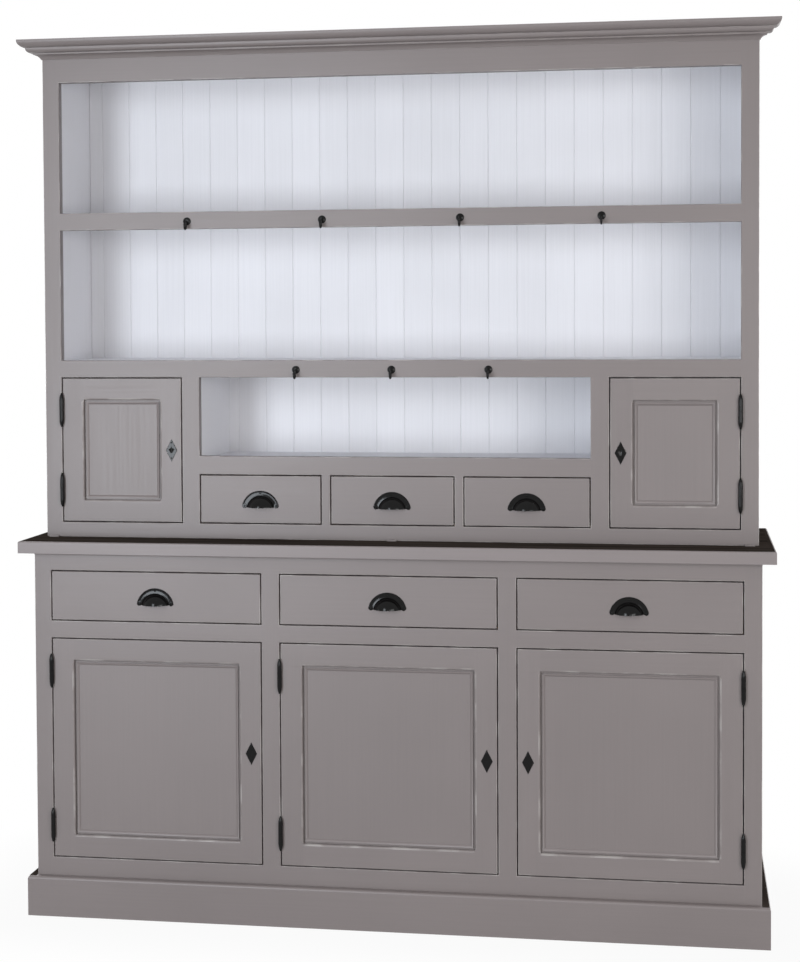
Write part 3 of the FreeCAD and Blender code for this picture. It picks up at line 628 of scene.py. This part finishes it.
def painted_wood(nodes, colour, wear_and_highlight, roughness):
    """Brushed eggshell paint, a little different from board to board, rubbed along its arrises and
    lightened there as a painted highlight.
    """
    rubbed_and_highlit = shade_of(settings().finishes.rubbed_and_highlit, 1.0)
    strokes = nodes.grain_noise(along=3.0, across=210.0)
    tone = nodes.ranged(nodes.attribute("tone"), 0.0, 1.0, -0.020, 0.020)
    level = nodes.math("ADD", nodes.ranged(nodes.noise(2.6), 0.3, 0.7, 0.965, 1.035), tone)
    coat = nodes.mixed(strokes, shade_of(colour, 0.95), shade_of(colour, 1.05))
    # Every marked arris gets some of the lighter undercoat: partly real rub-through, partly a painted
    # highlight
    patches = nodes.ranged(nodes.noise(14.0, 4.0), 0.46, 0.64, 0.15 * wear_and_highlight, wear_and_highlight, smooth=True)
    worn_and_highlit = nodes.math("MULTIPLY", patches, nodes.attribute("arris"))
    nodes.shader({
        "Base Color": nodes.mixed(worn_and_highlit, nodes.brightened(coat, level), rubbed_and_highlit),
        "Roughness": nodes.ranged(strokes, 0.2, 0.8, roughness - 0.06, roughness + 0.06),
    })
    nodes.bump(nodes.math("ADD", strokes, nodes.noise(900.0)), strength=0.12, distance=0.4 * MM)


def oiled_oak(nodes, colour):
    """Dark oiled wood with long grain and open pores."""
    figure = nodes.grain_noise(along=2.2, across=46.0, detail=5.0)
    pores = nodes.grain_noise(along=18.0, across=900.0, detail=2.0)
    pores = nodes.ranged(pores, 0.60, 0.72, 0.0, 0.6, smooth=True)
    bands = nodes.ranged(figure, 0.3, 0.7, 0.0, 1.0)
    wood = nodes.mixed(bands, shade_of(colour, 0.6), shade_of(colour, 1.6))
    nodes.shader({
        "Base Color": nodes.mixed(pores, wood, shade_of(colour, 0.3)),
        "Roughness": nodes.ranged(figure, 0.3, 0.7, 0.60, 0.72),
        "Specular IOR Level": 0.0,
    })
    nodes.bump(nodes.math("SUBTRACT", figure, pores), strength=0.2, distance=0.4 * MM)


def bare_pine(nodes, colour):
    """Planed pine with growth lines along the board."""
    rings = nodes.math("MULTIPLY", nodes.grain_noise(along=1.1, across=34.0), 11.0)
    late = nodes.ranged(nodes.math("FRACT", rings), 0.55, 1.0, 0.0, 0.75, smooth=True)
    fibre = nodes.grain_noise(along=9.0, across=520.0, detail=2.0)
    tone = nodes.ranged(nodes.attribute("tone"), 0.0, 1.0, 0.92, 1.06)
    wood = nodes.mixed(late, shade_of(colour, 1.12), shade_of(colour, 0.72))
    nodes.shader({
        "Base Color": nodes.brightened(wood, tone),
        "Roughness": nodes.ranged(fibre, 0.3, 0.7, 0.56, 0.70),
    })
    nodes.bump(nodes.math("ADD", fibre, late), strength=0.15, distance=0.3 * MM)


def black_iron(nodes, colour):
    """Lacquered cast iron with a slightly pebbled surface."""
    broad = nodes.noise(60.0)
    nodes.shader({
        "Base Color": nodes.mixed(broad, shade_of(colour, 0.7), shade_of(colour, 1.5)),
        "Roughness": nodes.ranged(broad, 0.3, 0.7, 0.08, 0.14),
        "Specular IOR Level": 0.16,
    })
    nodes.bump(nodes.noise(420.0, 3.0), strength=0.12, distance=0.3 * MM)


def drawn_steel(nodes, colour):
    """Bright steel with fine lines along its length."""
    lines = nodes.grain_noise(along=30.0, across=2500.0)
    nodes.shader({
        "Metallic": 1.0,
        "Base Color": nodes.mixed(lines, shade_of(colour, 0.85), shade_of(colour, 1.1)),
        "Roughness": nodes.ranged(lines, 0.3, 0.7, 0.28, 0.42),
    })
    nodes.bump(lines, strength=0.08, distance=0.2 * MM)


# Each finish: the record's slot, the maker of its material, its colour's setting and other choices
FINISHES = {
    # The wear share lightens arrises both as rub-through and as a painted highlight
    "grey_paint": ("paint", painted_wood, "paint", {"wear_and_highlight": 0.75, "roughness": 0.42}),
    # The lipping's lighter grey is a painted highlight
    "edge_paint": ("paint", painted_wood, "edge", {"wear_and_highlight": 0.75, "roughness": 0.42}),
    "lining_paint": ("lining", painted_wood, "lining", {"wear_and_highlight": 0.0, "roughness": 0.60}),
    "oiled_oak": ("worktop", oiled_oak, "oak", {}),
    "bare_pine": ("timber", bare_pine, "pine", {}),
    "black_iron": ("ironwork", black_iron, "iron", {}),
    "drawn_steel": ("steel", drawn_steel, "steel", {}),
}


def finish(name):
    """The material of a finish, made when it is first asked for."""
    made = bpy.data.materials.get(name)
    if made:
        return made
    nodes = Nodes(bpy.data.materials.new(name))
    _, maker, colour, choices = FINISHES[name]
    maker(nodes, getattr(settings().finishes, colour), **choices)
    return nodes.owner


# Operators
class DRESSER_OT_carcass(bpy.types.Operator):
    """Ease and paint the frames and sides of the base and hutch"""
    bl_idname = "dresser.carcass"
    bl_label = "Carcass"

    def execute(self, context):
        arris = settings().edges.joinery
        for node in ("base_face_frame", "base_side_panels", "hutch_face_frame", "hutch_side_panels"):
            jointed_copy(node, node + "_joinery", "carcass", "grey_paint", arris)
        return {"FINISHED"}


class DRESSER_OT_lining(bpy.types.Operator):
    """Ease and paint the shelves, partitions and back boards, and plane the drawer runners"""
    bl_idname = "dresser.lining"
    bl_label = "Lining"

    def execute(self, context):
        edges = settings().edges
        for node in ("hutch_shelves", "hutch_partitions", "hutch_side_linings", "base_shelves",
                     "base_partitions", "base_side_linings", "base_back_panel"):
            jointed_copy(node, node + "_joinery", "carcass", "lining_paint", edges.joinery)
        jointed_copy("hutch_back_boards", "hutch_boarding", "carcass", "lining_paint", edges.boards,
                     jointed=False)
        jointed_copy("base_drawer_runners", "drawer_runners", "carcass", "bare_pine", edges.boards)
        return {"FINISHED"}


class DRESSER_OT_mouldings(bpy.types.Operator):
    """Run the plinth, the cornice, the worktop's edging and the worktop itself"""
    bl_idname = "dresser.mouldings"
    bl_label = "Mouldings and worktop"

    # Run, rise and radius in millimetres from the cornice's foot up to its nose
    CORNICE = ((2, 0), (16, 11.5, -20), (0, 3.5), (5, 0), (10, 10, 10), (0, 2), (3, 0), (14, 14, 18),
               (0, 4.5))

    def execute(self, context):
        sizes = settings().mouldings
        base_low, base_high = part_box("base_face_frame")
        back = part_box("base_side_panels")[1].y
        self.plinth(sizes, base_low, base_high, back)
        self.cornice()
        self.worktop(sizes, base_low, base_high, back)
        return {"FINISHED"}

    def plinth(self, sizes, base_low, base_high, back):
        """Run the plinth and lay dark oak strips on its side ledges as painted shade."""
        low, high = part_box("plinth")
        nose, veneer = sizes.plinth_nose, sizes.veneer
        line = [(high.x - base_high.x, 0), (0, high.z - nose), (-nose, nose, nose)]
        self.run("plinth_moulding", "plinth", [(line, base_high.x, base_low.y, back, low.z)])
        # The dark oak strips on the side ledges are painted shade, standing in for the shadow there
        ledges = bmesh.new()
        outer = high.x - 0.4 * nose
        for way in (-1, 1):
            left, right = sorted((way * base_high.x, way * outer))
            box_into(ledges, (left, low.y + nose, high.z - nose), (right, back, high.z + veneer))
        ease(ledges, 0.4 * veneer)
        finish_piece(ledges, "plinth_ledges", "carcass", "oiled_oak")

    def cornice(self):
        """Run the cornice round the hutch."""
        hutch_low, hutch_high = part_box("hutch_face_frame")
        low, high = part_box("cornice")
        line = [[size * MM for size in move] for move in self.CORNICE]
        self.run("cornice_moulding", "cornice", [(line, hutch_high.x, hutch_low.y, high.y, low.z)])

    def worktop(self, sizes, base_low, base_high, back):
        """Lay the worktop with its lipping, cove and veneer, and the blocks at the hutch's foot."""
        edges = settings().edges
        low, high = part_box("worktop_board")
        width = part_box("worktop_edging")[1].x - high.x
        nose, veneer, cove = sizes.lipping_nose, sizes.veneer, sizes.cove
        lipping = [(width, 0), (0, high.z - low.z - nose), (-nose, nose, nose), (0, -veneer)]
        # The lipping takes the lighter grey, a painted highlight on the worktop's edge
        self.run("worktop_lipping", "worktop_edging", [
            (lipping, high.x, low.y, back, low.z),
            ([(cove, cove, -cove)], base_high.x, base_low.y, back, base_high.z - cove),
        ], "edge_paint")
        rim = [(width - nose, 0), (0, veneer)]
        self.run("worktop_rim", None, [(rim, high.x, low.y, back, high.z - veneer)], "oiled_oak")
        stops = copy_of_node("worktop_edging")
        keep_solids(stops, lambda start, end: start.z > high.z - MM)
        ease(stops, edges.mouldings)
        finish_piece(stops, "hutch_stops", "carcass", "grey_paint")
        jointed_copy("worktop_board", "worktop_plank", "carcass", "oiled_oak", edges.boards)

    def run(self, name, node, runs, material="grey_paint"):
        """Run some profiles round the carcass as one piece, which may stand for a CAD node."""
        bm = bmesh.new()
        for moves, *places in runs:
            spots = profile(moves)
            spots.append(Vector((0.0, spots[-1].y)))
            wrap_moulding(bm, spots, *places)
        close_up(bm)
        if node:
            ease(bm, settings().edges.mouldings, least_angle=40)
        finish_piece(bm, name, "carcass", material, [node] if node else (), ROUND_ANGLE, by_face=True)


class DRESSER_OT_doors(bpy.types.Operator):
    """Ease and paint the doors' frames and panels and run the beads round the panels"""
    bl_idname = "dresser.doors"
    bl_label = "Doors"

    def execute(self, context):
        sizes = settings().mouldings
        edges = settings().edges
        bead = profile([
            (0, sizes.panel_base),
            (sizes.panel_quirk, 0),
            (0, sizes.panel_step),
            (sizes.panel_bead, -sizes.panel_fall, -sizes.panel_bead_radius),
        ], steps=12)
        bead.append(Vector((bead[-1].x, 0)))
        for door in DOORS:
            panel = copy_of_node(door + "_panel")
            spans = sorted((span_of(group) for group in solids(panel)), key=lambda span: span[0].x)
            low, high = spans[1]
            keep_solids(panel, lambda start, end: start.x < low.x)
            ease(panel, edges.boards)
            finish_piece(panel, door + "_field", door, "grey_paint", [door + "_panel"])
            leaf = copy_of_node(door + "_frame")
            self.round_opening(leaf, low, high, sizes.panel_round)
            ease(leaf, edges.joinery, jointed=True)
            finish_piece(leaf, door + "_joinery", door, "grey_paint", [door + "_frame"])
            bm = bmesh.new()
            frame_moulding(bm, bead, low, high, high.y)
            close_up(bm)
            ease(bm, edges.beads, least_angle=50)
            finish_piece(bm, door + "_bead", door, "grey_paint", (), ROUND_ANGLE, by_face=True)
        return {"FINISHED"}

    def round_opening(self, bm, low, high, radius):
        """Round the front edges of a door's frame along the opening for its panel, and mark the round-over
        to be lightened as rubbed paint and painted highlight.
        """
        mark = rub_and_highlight_layer(bm)
        score_joints(bm)
        for level in (low.z + radius, high.z - radius):
            cut(bm, Z_AXIS * level, Z_AXIS)
        front = min(vert.co.y for vert in bm.verts)
        chosen = []
        for edge in bm.edges:
            if not self.lies(edge, "y", front, front):
                continue
            upright = any(self.lies(edge, "x", side, side) for side in (low.x, high.x))
            level = any(self.lies(edge, "z", side, side) for side in (low.z, high.z))
            if upright and self.lies(edge, "z", low.z + radius, high.z - radius):
                chosen.append(edge)
            elif level and self.lies(edge, "x", low.x, high.x):
                chosen.append(edge)
        # The round-over is marked for the lighter undercoat: rubbed paint and a painted highlight
        round_off(bm, chosen, radius, mark, segments=6, rubbed_and_highlit=0.75)

    def lies(self, edge, way, low, high):
        """Whether both ends of an edge lie between two levels."""
        return all(low - TOUCH < getattr(vert.co, way) < high + TOUCH for vert in edge.verts)


class DRESSER_OT_drawers(bpy.types.Operator):
    """Ease and paint the drawer fronts and plane the drawer boxes"""
    bl_idname = "dresser.drawers"
    bl_label = "Drawers"

    def execute(self, context):
        edges = settings().edges
        for drawer in DRAWERS:
            jointed_copy(drawer + "_front", drawer + "_face", drawer, "grey_paint", edges.joinery)
            jointed_copy(drawer + "_box", drawer + "_case", drawer, "bare_pine", edges.boards)
        return {"FINISHED"}


def screw_stamp():
    """A slotted round-headed screw whose head stands on the XY plane."""
    bm = bmesh.new()
    radius = settings().ironwork.screw_radius
    flattened = Matrix.Diagonal((1.0, 1.0, 0.55, 1.0))
    slot_half = 0.13 * radius
    for way in (-1, 1):
        half = bmesh.new()
        bmesh.ops.create_uvsphere(half, u_segments=16, v_segments=8, radius=radius, matrix=flattened)
        for spot, out in (((0, 0, 0), -Z_AXIS), ((slot_half * way, 0, 0), -X_AXIS * way)):
            cut(half, spot, out, slack=IRON_CUT, clear=True)
            bmesh.ops.holes_fill(half, edges=half.edges)
        part_into(bm, half)
    slot_floor, foot = 0.2 * radius, 0.98 * radius
    spin_into(bm, [(0, 0, slot_floor), (foot, 0, slot_floor), (foot, 0, 0)], Z_AXIS, steps=16)
    return stamp_from(bm)


class DRESSER_OT_pulls(bpy.types.Operator):
    """Make the cup pulls with their screws"""
    bl_idname = "dresser.pulls"
    bl_label = "Cup pulls"

    # Radians by which the screws' slots turn from pull to pull and from screw to screw
    PULL_TURN = 0.9
    SCREW_TURN = 1.7

    def execute(self, context):
        sizes = settings().ironwork
        stamp = self.pull_stamp(sizes)
        screw = screw_stamp()
        for index, drawer in enumerate(DRAWERS):
            low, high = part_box(drawer + "_pull")
            lip = Vector(((low.x + high.x) / 2, high.y, high.z - sizes.flange_radius + sizes.lip_rise))
            bm = bmesh.new()
            stamp_into(bm, stamp, Matrix.Translation(lip))
            for turn, (across, up) in enumerate(self.screw_places(sizes)):
                spot = lip + Vector((across, -sizes.flange_thickness, up))
                turned = self.PULL_TURN * index + self.SCREW_TURN * turn
                stamp_into(bm, screw, facing_front(spot, turned))
            finish_piece(bm, drawer + "_cup_pull", drawer, "black_iron", [drawer + "_pull"], ROUND_ANGLE)
        return {"FINISHED"}

    def screw_places(self, sizes):
        middle = (sizes.flange_radius + sizes.dome_radius) / 2
        ear = math.sqrt(middle ** 2 - (sizes.lip_rise + sizes.ear_rise) ** 2)
        return [(0.0, middle - sizes.lip_rise), (-ear, sizes.ear_rise), (ear, sizes.ear_rise)]

    def pull_stamp(self, sizes):
        """A cup pull whose lip's middle is at the origin, on the XZ plane, standing out towards -Y."""
        bm = bmesh.new()
        axis = Vector((0, 0, -sizes.lip_rise))
        self.flange_into(bm, sizes, axis)
        part_into(bm, self.dome(sizes, axis))
        return stamp_from(bm)

    def flange_into(self, bm, sizes, axis):
        """Add the dished flange and the round ends of its two ears."""
        thick = sizes.flange_thickness
        half = (sizes.flange_radius - sizes.dome_radius) / 2
        start = math.asin((sizes.lip_rise + sizes.ear_rise) / (sizes.dome_radius + half))
        rim, crest = 0.5 * thick, 0.4 * half
        dish, hollow = 0.25 * thick, 8 * half
        section = profile([
            (0, thick - rim),
            (-rim, rim, rim),
            (-crest, -dish, -hollow),
            (rim + crest - 2 * half, dish, -hollow),
            (0, -thick),
        ], (sizes.flange_radius, 0.0), steps=4)
        first = chain_into(bm, [self.spoke(axis, spot, start) for spot in section], closed=True)
        last = sweep(bm, first, -Y_AXIS, axis, math.pi - 2 * start, steps=48)
        for ring in (first, last):
            bmesh.ops.edgeloop_fill(bm, edges=ring)
        disc = profile([(half - rim, 0), (rim, -rim, -rim), (0, rim - thick)], (0.0, thick), steps=4)
        for across, up in self.screw_places(sizes)[1:]:
            spots = [(across + spot.x, -spot.y, up) for spot in disc]
            spin_into(bm, spots, Y_AXIS, steps=28, centre=(across, 0, up))

    def dome(self, sizes, axis):
        """The cup itself, cut level along its lip."""
        shell = bmesh.new()
        thick, wall = sizes.flange_thickness, sizes.dome_shell
        radius, depth = sizes.dome_radius, sizes.dome_depth
        inner_radius, inner_depth = radius - wall, depth + thick - wall
        line = profile([
            (radius, -depth, -self.ball_radius(radius, depth)),
            (0, -thick),
            (-wall, 0),
            (-inner_radius, inner_depth, self.ball_radius(inner_radius, inner_depth)),
        ], (0.0, depth + thick), steps=14)
        spots = [self.spoke(axis, spot, 0.0) for spot in line]
        spin_into(shell, spots, -Y_AXIS, steps=64, centre=axis, turn=math.pi)
        bmesh.ops.remove_doubles(shell, verts=shell.verts, dist=MERGE)
        cut(shell, (0, 0, 0), -Z_AXIS, slack=IRON_CUT, clear=True)
        bmesh.ops.edgeloop_fill(shell, edges=[edge for edge in shell.edges if edge.is_boundary])
        return shell

    def ball_radius(self, radius, depth):
        """Radius of the ball that a cap of some radius and depth is cut from."""
        return (radius ** 2 + depth ** 2) / (2 * depth)

    def spoke(self, axis, spot, angle):
        return axis + Vector((spot.x * math.cos(angle), -spot.y, spot.x * math.sin(angle)))


class DRESSER_OT_hinges(bpy.types.Operator):
    """Turn the hinge barrels and cut their leaves"""
    bl_idname = "dresser.hinges"
    bl_label = "Hinges"

    def execute(self, context):
        sizes = settings().ironwork
        fixed = bmesh.new()
        for door in DOORS:
            node = door + "_hinge_halves"
            axis = Vector(JOINTS[door]["pos_m"])
            hand = JOINTS[door]["axis"][2]
            low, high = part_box(node)
            moving = bmesh.new()
            for level in (low.z - sizes.knuckle_gap, high.z - sizes.barrel_half):
                place = Matrix.Translation((axis.x, axis.y, level))
                part_into(fixed, self.half_hinge(sizes, -1, hand), place)
                part_into(moving, self.half_hinge(sizes, 1, -hand), place)
            finish_piece(moving, door + "_hinges", door, "black_iron", [node], ROUND_ANGLE)
        finish_piece(fixed, "frame_hinges", "carcass", "black_iron", ["frame_hinge_halves"], ROUND_ANGLE)
        return {"FINISHED"}

    def half_hinge(self, sizes, way, side):
        """Half a hinge about the Z axis, above (1) or below (-1) the XY plane, its leaf on one side."""
        bm = bmesh.new()
        eased = sizes.barrel_ease
        line = profile([
            (sizes.barrel_radius - eased, 0),
            (eased, eased),
            (0, sizes.barrel_straight - sizes.knuckle_gap - eased),
            (sizes.barrel_tip - sizes.barrel_radius, sizes.barrel_half - sizes.barrel_straight,
             sizes.ogive_radius),
            (-sizes.barrel_tip, 0),
        ], (0.0, sizes.knuckle_gap), steps=10)
        spin_into(bm, [(spot.x, 0, way * spot.y) for spot in line], Z_AXIS, steps=28)
        faces = sorted((side * sizes.leaf_outside, side * sizes.leaf_inside))
        ends = sorted((way * sizes.knuckle_gap, way * sizes.leaf_half))
        root = 0.7 * sizes.barrel_radius
        box_into(bm, (faces[0], root, ends[0]), (faces[1], sizes.leaf_reach, ends[1]))
        return bm


class DRESSER_OT_hooks(bpy.types.Operator):
    """Bend the cup hooks and turn their roses"""
    bl_idname = "dresser.hooks"
    bl_label = "Cup hooks"

    def execute(self, context):
        sizes = settings().ironwork
        stamp = self.hook_stamp(sizes)
        copy = copy_of_node("hooks")
        spans = [span_of(group) for group in solids(copy)]
        copy.free()
        bm = bmesh.new()
        for low, high in spans:
            rose = ((low.x + high.x) / 2, high.y, high.z - sizes.rose_radius)
            stamp_into(bm, stamp, Matrix.Translation(rose))
        finish_piece(bm, "cup_hooks", "carcass", "black_iron", ["hooks"], smooth_angle=40)
        return {"FINISHED"}

    def hook_stamp(self, sizes):
        """A hook whose rose stands on the XZ plane at the origin, reaching towards -Y."""
        bm = bmesh.new()
        wire, rose, thick = sizes.wire_radius, sizes.rose_radius, sizes.rose_thickness
        collar, step = 1.6 * wire, 0.3 * MM
        line = profile([
            (collar, 0),
            (rose - collar - wire, step - 0.5 * thick, -3 * rose),
            (wire, -0.2 * thick, 2 * wire),
            (0, -0.3 * thick - step),
        ], (0.0, thick), steps=6)
        spin_into(bm, [(spot.x, -spot.y, 0) for spot in line], Y_AXIS, steps=32)
        start = Matrix.Rotation(math.pi / 2, 4, "X")
        verts = bmesh.ops.create_circle(bm, segments=14, radius=wire, matrix=start)["verts"]
        ring = [edge for edge in bm.edges if all(vert in verts for vert in edge.verts)]
        knee = -sizes.hook_stem
        fall = -(sizes.hook_bend + sizes.hook_drop)
        far = knee - sizes.hook_bend - sizes.hook_throat
        ring = self.straight(bm, ring, (0, knee, 0))
        ring = sweep(bm, ring, X_AXIS, (0, knee, -sizes.hook_bend), math.pi / 2, steps=8)
        ring = self.straight(bm, ring, (0, 0, -sizes.hook_drop))
        ring = sweep(bm, ring, X_AXIS, (0, far, fall), -math.pi, steps=16)
        self.straight(bm, ring, (0, 0, sizes.hook_tip))
        ball = Matrix.Translation((0, far - sizes.hook_throat, fall + sizes.hook_tip))
        bmesh.ops.create_uvsphere(bm, u_segments=20, v_segments=12, radius=sizes.hook_ball, matrix=ball)
        return stamp_from(bm)

    def straight(self, bm, ring, move):
        way = Vector(move)
        return extrude_through(bm, ring, [lambda spot: spot + way])


class DRESSER_OT_locks(bpy.types.Operator):
    """Ease the lock plates and cases, pin the plates and screw the cases on"""
    bl_idname = "dresser.locks"
    bl_label = "Locks"

    # Radians by which the slots of the cases' screws turn over a metre
    SCREW_TURN = 40

    def execute(self, context):
        screw = screw_stamp()
        sizes = settings().ironwork
        arris = settings().edges.ironwork
        pin_size = Matrix.Diagonal((0.8, 0.8, 0.8, 1.0))
        pin_rise = 0.35 * sizes.plate_height
        inset = sizes.case_inset
        for door in DOORS:
            node = door + "_lock"
            bm = copy_of_node(node)
            spans = sorted((span_of(group) for group in solids(bm)), key=lambda span: span[0].y)
            plate, case = spans
            keep_solids(bm, lambda low, high: low.y > plate[1].y - TOUCH)
            ease(bm, arris)
            middle = (plate[0] + plate[1]) / 2
            thick = plate[1].y - plate[0].y
            part_into(bm, self.plate(sizes, thick, arris),
                      Matrix.Translation((middle.x, plate[1].y, middle.z)))
            for way in (-1, 1):
                spot = (middle.x, plate[0].y, middle.z + way * pin_rise)
                stamp_into(bm, screw, facing_front(spot) @ pin_size)
            for across in (case[0].x + inset, case[1].x - inset):
                for up in (case[0].z + inset, case[1].z - inset):
                    place = Matrix.Translation((across, case[1].y, up))
                    place = place @ Matrix.Rotation(-math.pi / 2, 4, "X")
                    turned = Matrix.Rotation(self.SCREW_TURN * (across + up), 4, "Z")
                    stamp_into(bm, screw, place @ turned)
            finish_piece(bm, door + "_lock_set", door, "black_iron", [node], ROUND_ANGLE)
            bolt = door.replace("door", "bolt")
            jointed_copy(door + "_bolt", door + "_lock_bolt", bolt, "drawn_steel", arris)
        return {"FINISHED"}

    def plate(self, sizes, thick, arris):
        """A diamond plate on the XZ plane with chamfered edges and a keyhole sunk into its front."""
        bm = bmesh.new()
        wide, tall = sizes.plate_width / 2, sizes.plate_height / 2
        drawn_in = 1 - 2 * arris / wide
        rim = chain_into(bm, [(wide, 0, 0), (0, 0, tall), (-wide, 0, 0), (0, 0, -tall)], closed=True)
        bmesh.ops.edgeloop_fill(bm, edges=rim)
        front = extrude_through(bm, rim, (
            lambda spot: spot + Vector((0, arris - thick, 0)),
            lambda spot: Vector((spot.x * drawn_in, -thick, spot.z * drawn_in)),
        ))
        radius, slot, drop = sizes.keyhole_radius, sizes.keyhole_slot, sizes.keyhole_drop
        rise = drop - math.sqrt(radius ** 2 - slot ** 2 / 4)
        top = drop + radius - rise
        line = profile([(slot, 0), (0, rise), (-slot / 2, top, radius), (-slot / 2, -top, radius)],
                       (-slot / 2, -(drop + radius) / 2), steps=10)
        hole = chain_into(bm, [(spot.x, -thick, spot.y) for spot in line], closed=True)
        bmesh.ops.triangle_fill(bm, edges=front + hole, use_beauty=True)
        narrowed, shortened, floor = 0.15, 0.8, 0.15 * thick
        sunk = extrude_through(bm, hole, [
            lambda spot: Vector((narrowed * spot.x, -floor, shortened * spot.z)),
        ])
        bmesh.ops.edgeloop_fill(bm, edges=sunk)
        return bm


class DRESSER_OT_stage(bpy.types.Operator):
    """Lay the floor, hang the lights and set up the camera"""
    bl_idname = "dresser.stage"
    bl_label = "Studio"

    # Width of the camera's sensor in millimetres
    SENSOR = 36.0
    # Half the floor's side in metres
    FLOOR_HALF = 15.0
    # Sides of the small and large soft boxes in metres
    SMALL_BOX = 1.2
    LARGE_BOX = 1.6

    def execute(self, context):
        stage = settings().stage
        self.floor(stage)
        self.sky(stage)
        small, large = self.SMALL_BOX, self.LARGE_BOX
        self.lamp("low_key_light", stage.key_power, stage.key_tint, small, (-1.85, -4.5, 0.95))
        self.lamp("high_key_light", stage.high_power, stage.key_tint, small, (-1.65, -4.6, 2.3))
        self.lamp("front_light", stage.front_power, WHITE, large, (1.9, -4.6, 1.5))
        self.lamp("side_light", stage.side_power, WHITE, large, (2.8, -3.4, 1.5))
        for way in (-1, 1):
            self.lamp("back_light", stage.back_power, WHITE, large, (3.2 * way, 2.8, 1.3))
        self.camera(stage)
        context.scene.view_settings.view_transform = "Standard"
        return {"FINISHED"}

    def floor(self, stage):
        nodes = Nodes(bpy.data.materials.new("pale_floor"))
        plain = nodes.shader({"Base Color": shade_of(WHITE, stage.floor_grey), "Roughness": 0.8})
        white = nodes.add("Emission", {"Color": (*WHITE, 1.0), "Strength": 1.0})
        factor = nodes.math("MULTIPLY", nodes.seen(), self.whiteness(nodes, stage))
        nodes.surface("Material Output", factor, plain, white)
        bm = bmesh.new()
        bmesh.ops.create_grid(bm, x_segments=1, y_segments=1, size=self.FLOOR_HALF)
        floor = object_from(mesh_from(bm, "floor"), "floor")
        floor.data.materials.append(nodes.owner)

    def whiteness(self, nodes, stage):
        """Share of plain white, which grows with the distance from the plinth."""
        low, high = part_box("plinth")
        place = nodes.add("TexCoord", {}).outputs["Object"]
        ways = nodes.add("SeparateXYZ", {"Vector": place}).outputs
        squares = []
        for way, reach in (("X", high.x), ("Y", -low.y)):
            past = nodes.math("SUBTRACT", nodes.math("ABSOLUTE", ways[way]), reach)
            squares.append(nodes.math("POWER", nodes.math("MAXIMUM", past, 0.0), 2.0))
        far = nodes.math("SQRT", nodes.math("ADD", *squares))
        return nodes.ranged(far, 0.0, stage.floor_fade, stage.floor_white, 1.0, smooth=True)

    def sky(self, stage):
        """Light that grows towards overhead, behind a background that the camera sees as plain white."""
        world = bpy.data.worlds.new("studio")
        nodes = Nodes(world)
        way = nodes.add("TexCoord", {}).outputs["Generated"]
        rise = nodes.add("SeparateXYZ", {"Vector": way}).outputs["Z"]
        level = nodes.ranged(rise, 0.0, 1.0, stage.sky_low, stage.sky_high)
        soft = nodes.feed(nodes.tree.nodes["Background"], {"Color": (*WHITE, 1.0), "Strength": level})
        white = nodes.add("Background", {"Color": (*WHITE, 1.0), "Strength": 1.0})
        nodes.surface("World Output", nodes.seen(), soft, white)
        bpy.context.scene.world = world

    def lamp(self, name, watts, tint, size, place):
        """A soft box that faces the middle of the dresser."""
        light = bpy.data.lights.new(name, "AREA")
        light.energy = watts
        light.color = tint
        light.size = size
        lamp = object_from(light, name)
        lamp.location = place
        middle = sum(CAD_BOX, Vector()) / 2
        lamp.rotation_euler = (middle - Vector(place)).to_track_quat("-Z", "Y").to_euler()

    def camera(self, stage):
        lens = bpy.data.cameras.new("camera")
        lens.sensor_width = self.SENSOR
        lens.lens = stage.camera_lens
        lens.shift_x, lens.shift_y = stage.camera_shift
        camera = object_from(lens, "camera")
        camera.matrix_world = (
            Matrix.Translation(stage.camera_place)
            @ Matrix.Rotation(stage.camera_yaw, 4, "Z")
            @ Matrix.Rotation(math.pi / 2 + stage.camera_pitch, 4, "X")
            @ Matrix.Rotation(stage.camera_roll, 4, "Z")
        )
        bpy.context.scene.camera = camera


OPERATORS = (DRESSER_OT_carcass, DRESSER_OT_lining, DRESSER_OT_mouldings, DRESSER_OT_doors,
             DRESSER_OT_drawers, DRESSER_OT_pulls, DRESSER_OT_hinges, DRESSER_OT_hooks, DRESSER_OT_locks,
             DRESSER_OT_stage)


class DRESSER_PT_sidebar(bpy.types.Panel):
    """Lists the pieces of the dresser"""
    bl_idname = "DRESSER_PT_sidebar"
    bl_label = "Dresser"
    bl_space_type = "VIEW_3D"
    bl_region_type = "UI"
    bl_category = "Dresser"

    def draw(self, context):
        for operator in OPERATORS:
            self.layout.operator(operator.bl_idname, text=operator.bl_label)


CLASSES = (DresserFinishes, DresserEdges, DresserMouldings, DresserIronwork, DresserStage, DresserSettings,
           *OPERATORS, DRESSER_PT_sidebar)


def register():
    for kind in CLASSES:
        bpy.utils.register_class(kind)
    bpy.types.Scene.dresser = bpy.props.PointerProperty(type=DresserSettings)


def unregister():
    del bpy.types.Scene.dresser
    for kind in reversed(CLASSES):
        bpy.utils.unregister_class(kind)


def main():
    register()
    bpy.ops.dresser.carcass()
    bpy.ops.dresser.lining()
    bpy.ops.dresser.mouldings()
    bpy.ops.dresser.doors()
    bpy.ops.dresser.drawers()
    bpy.ops.dresser.pulls()
    bpy.ops.dresser.hinges()
    bpy.ops.dresser.hooks()
    bpy.ops.dresser.locks()
    bpy.ops.dresser.stage()


if __name__ == "__main__":
    main()
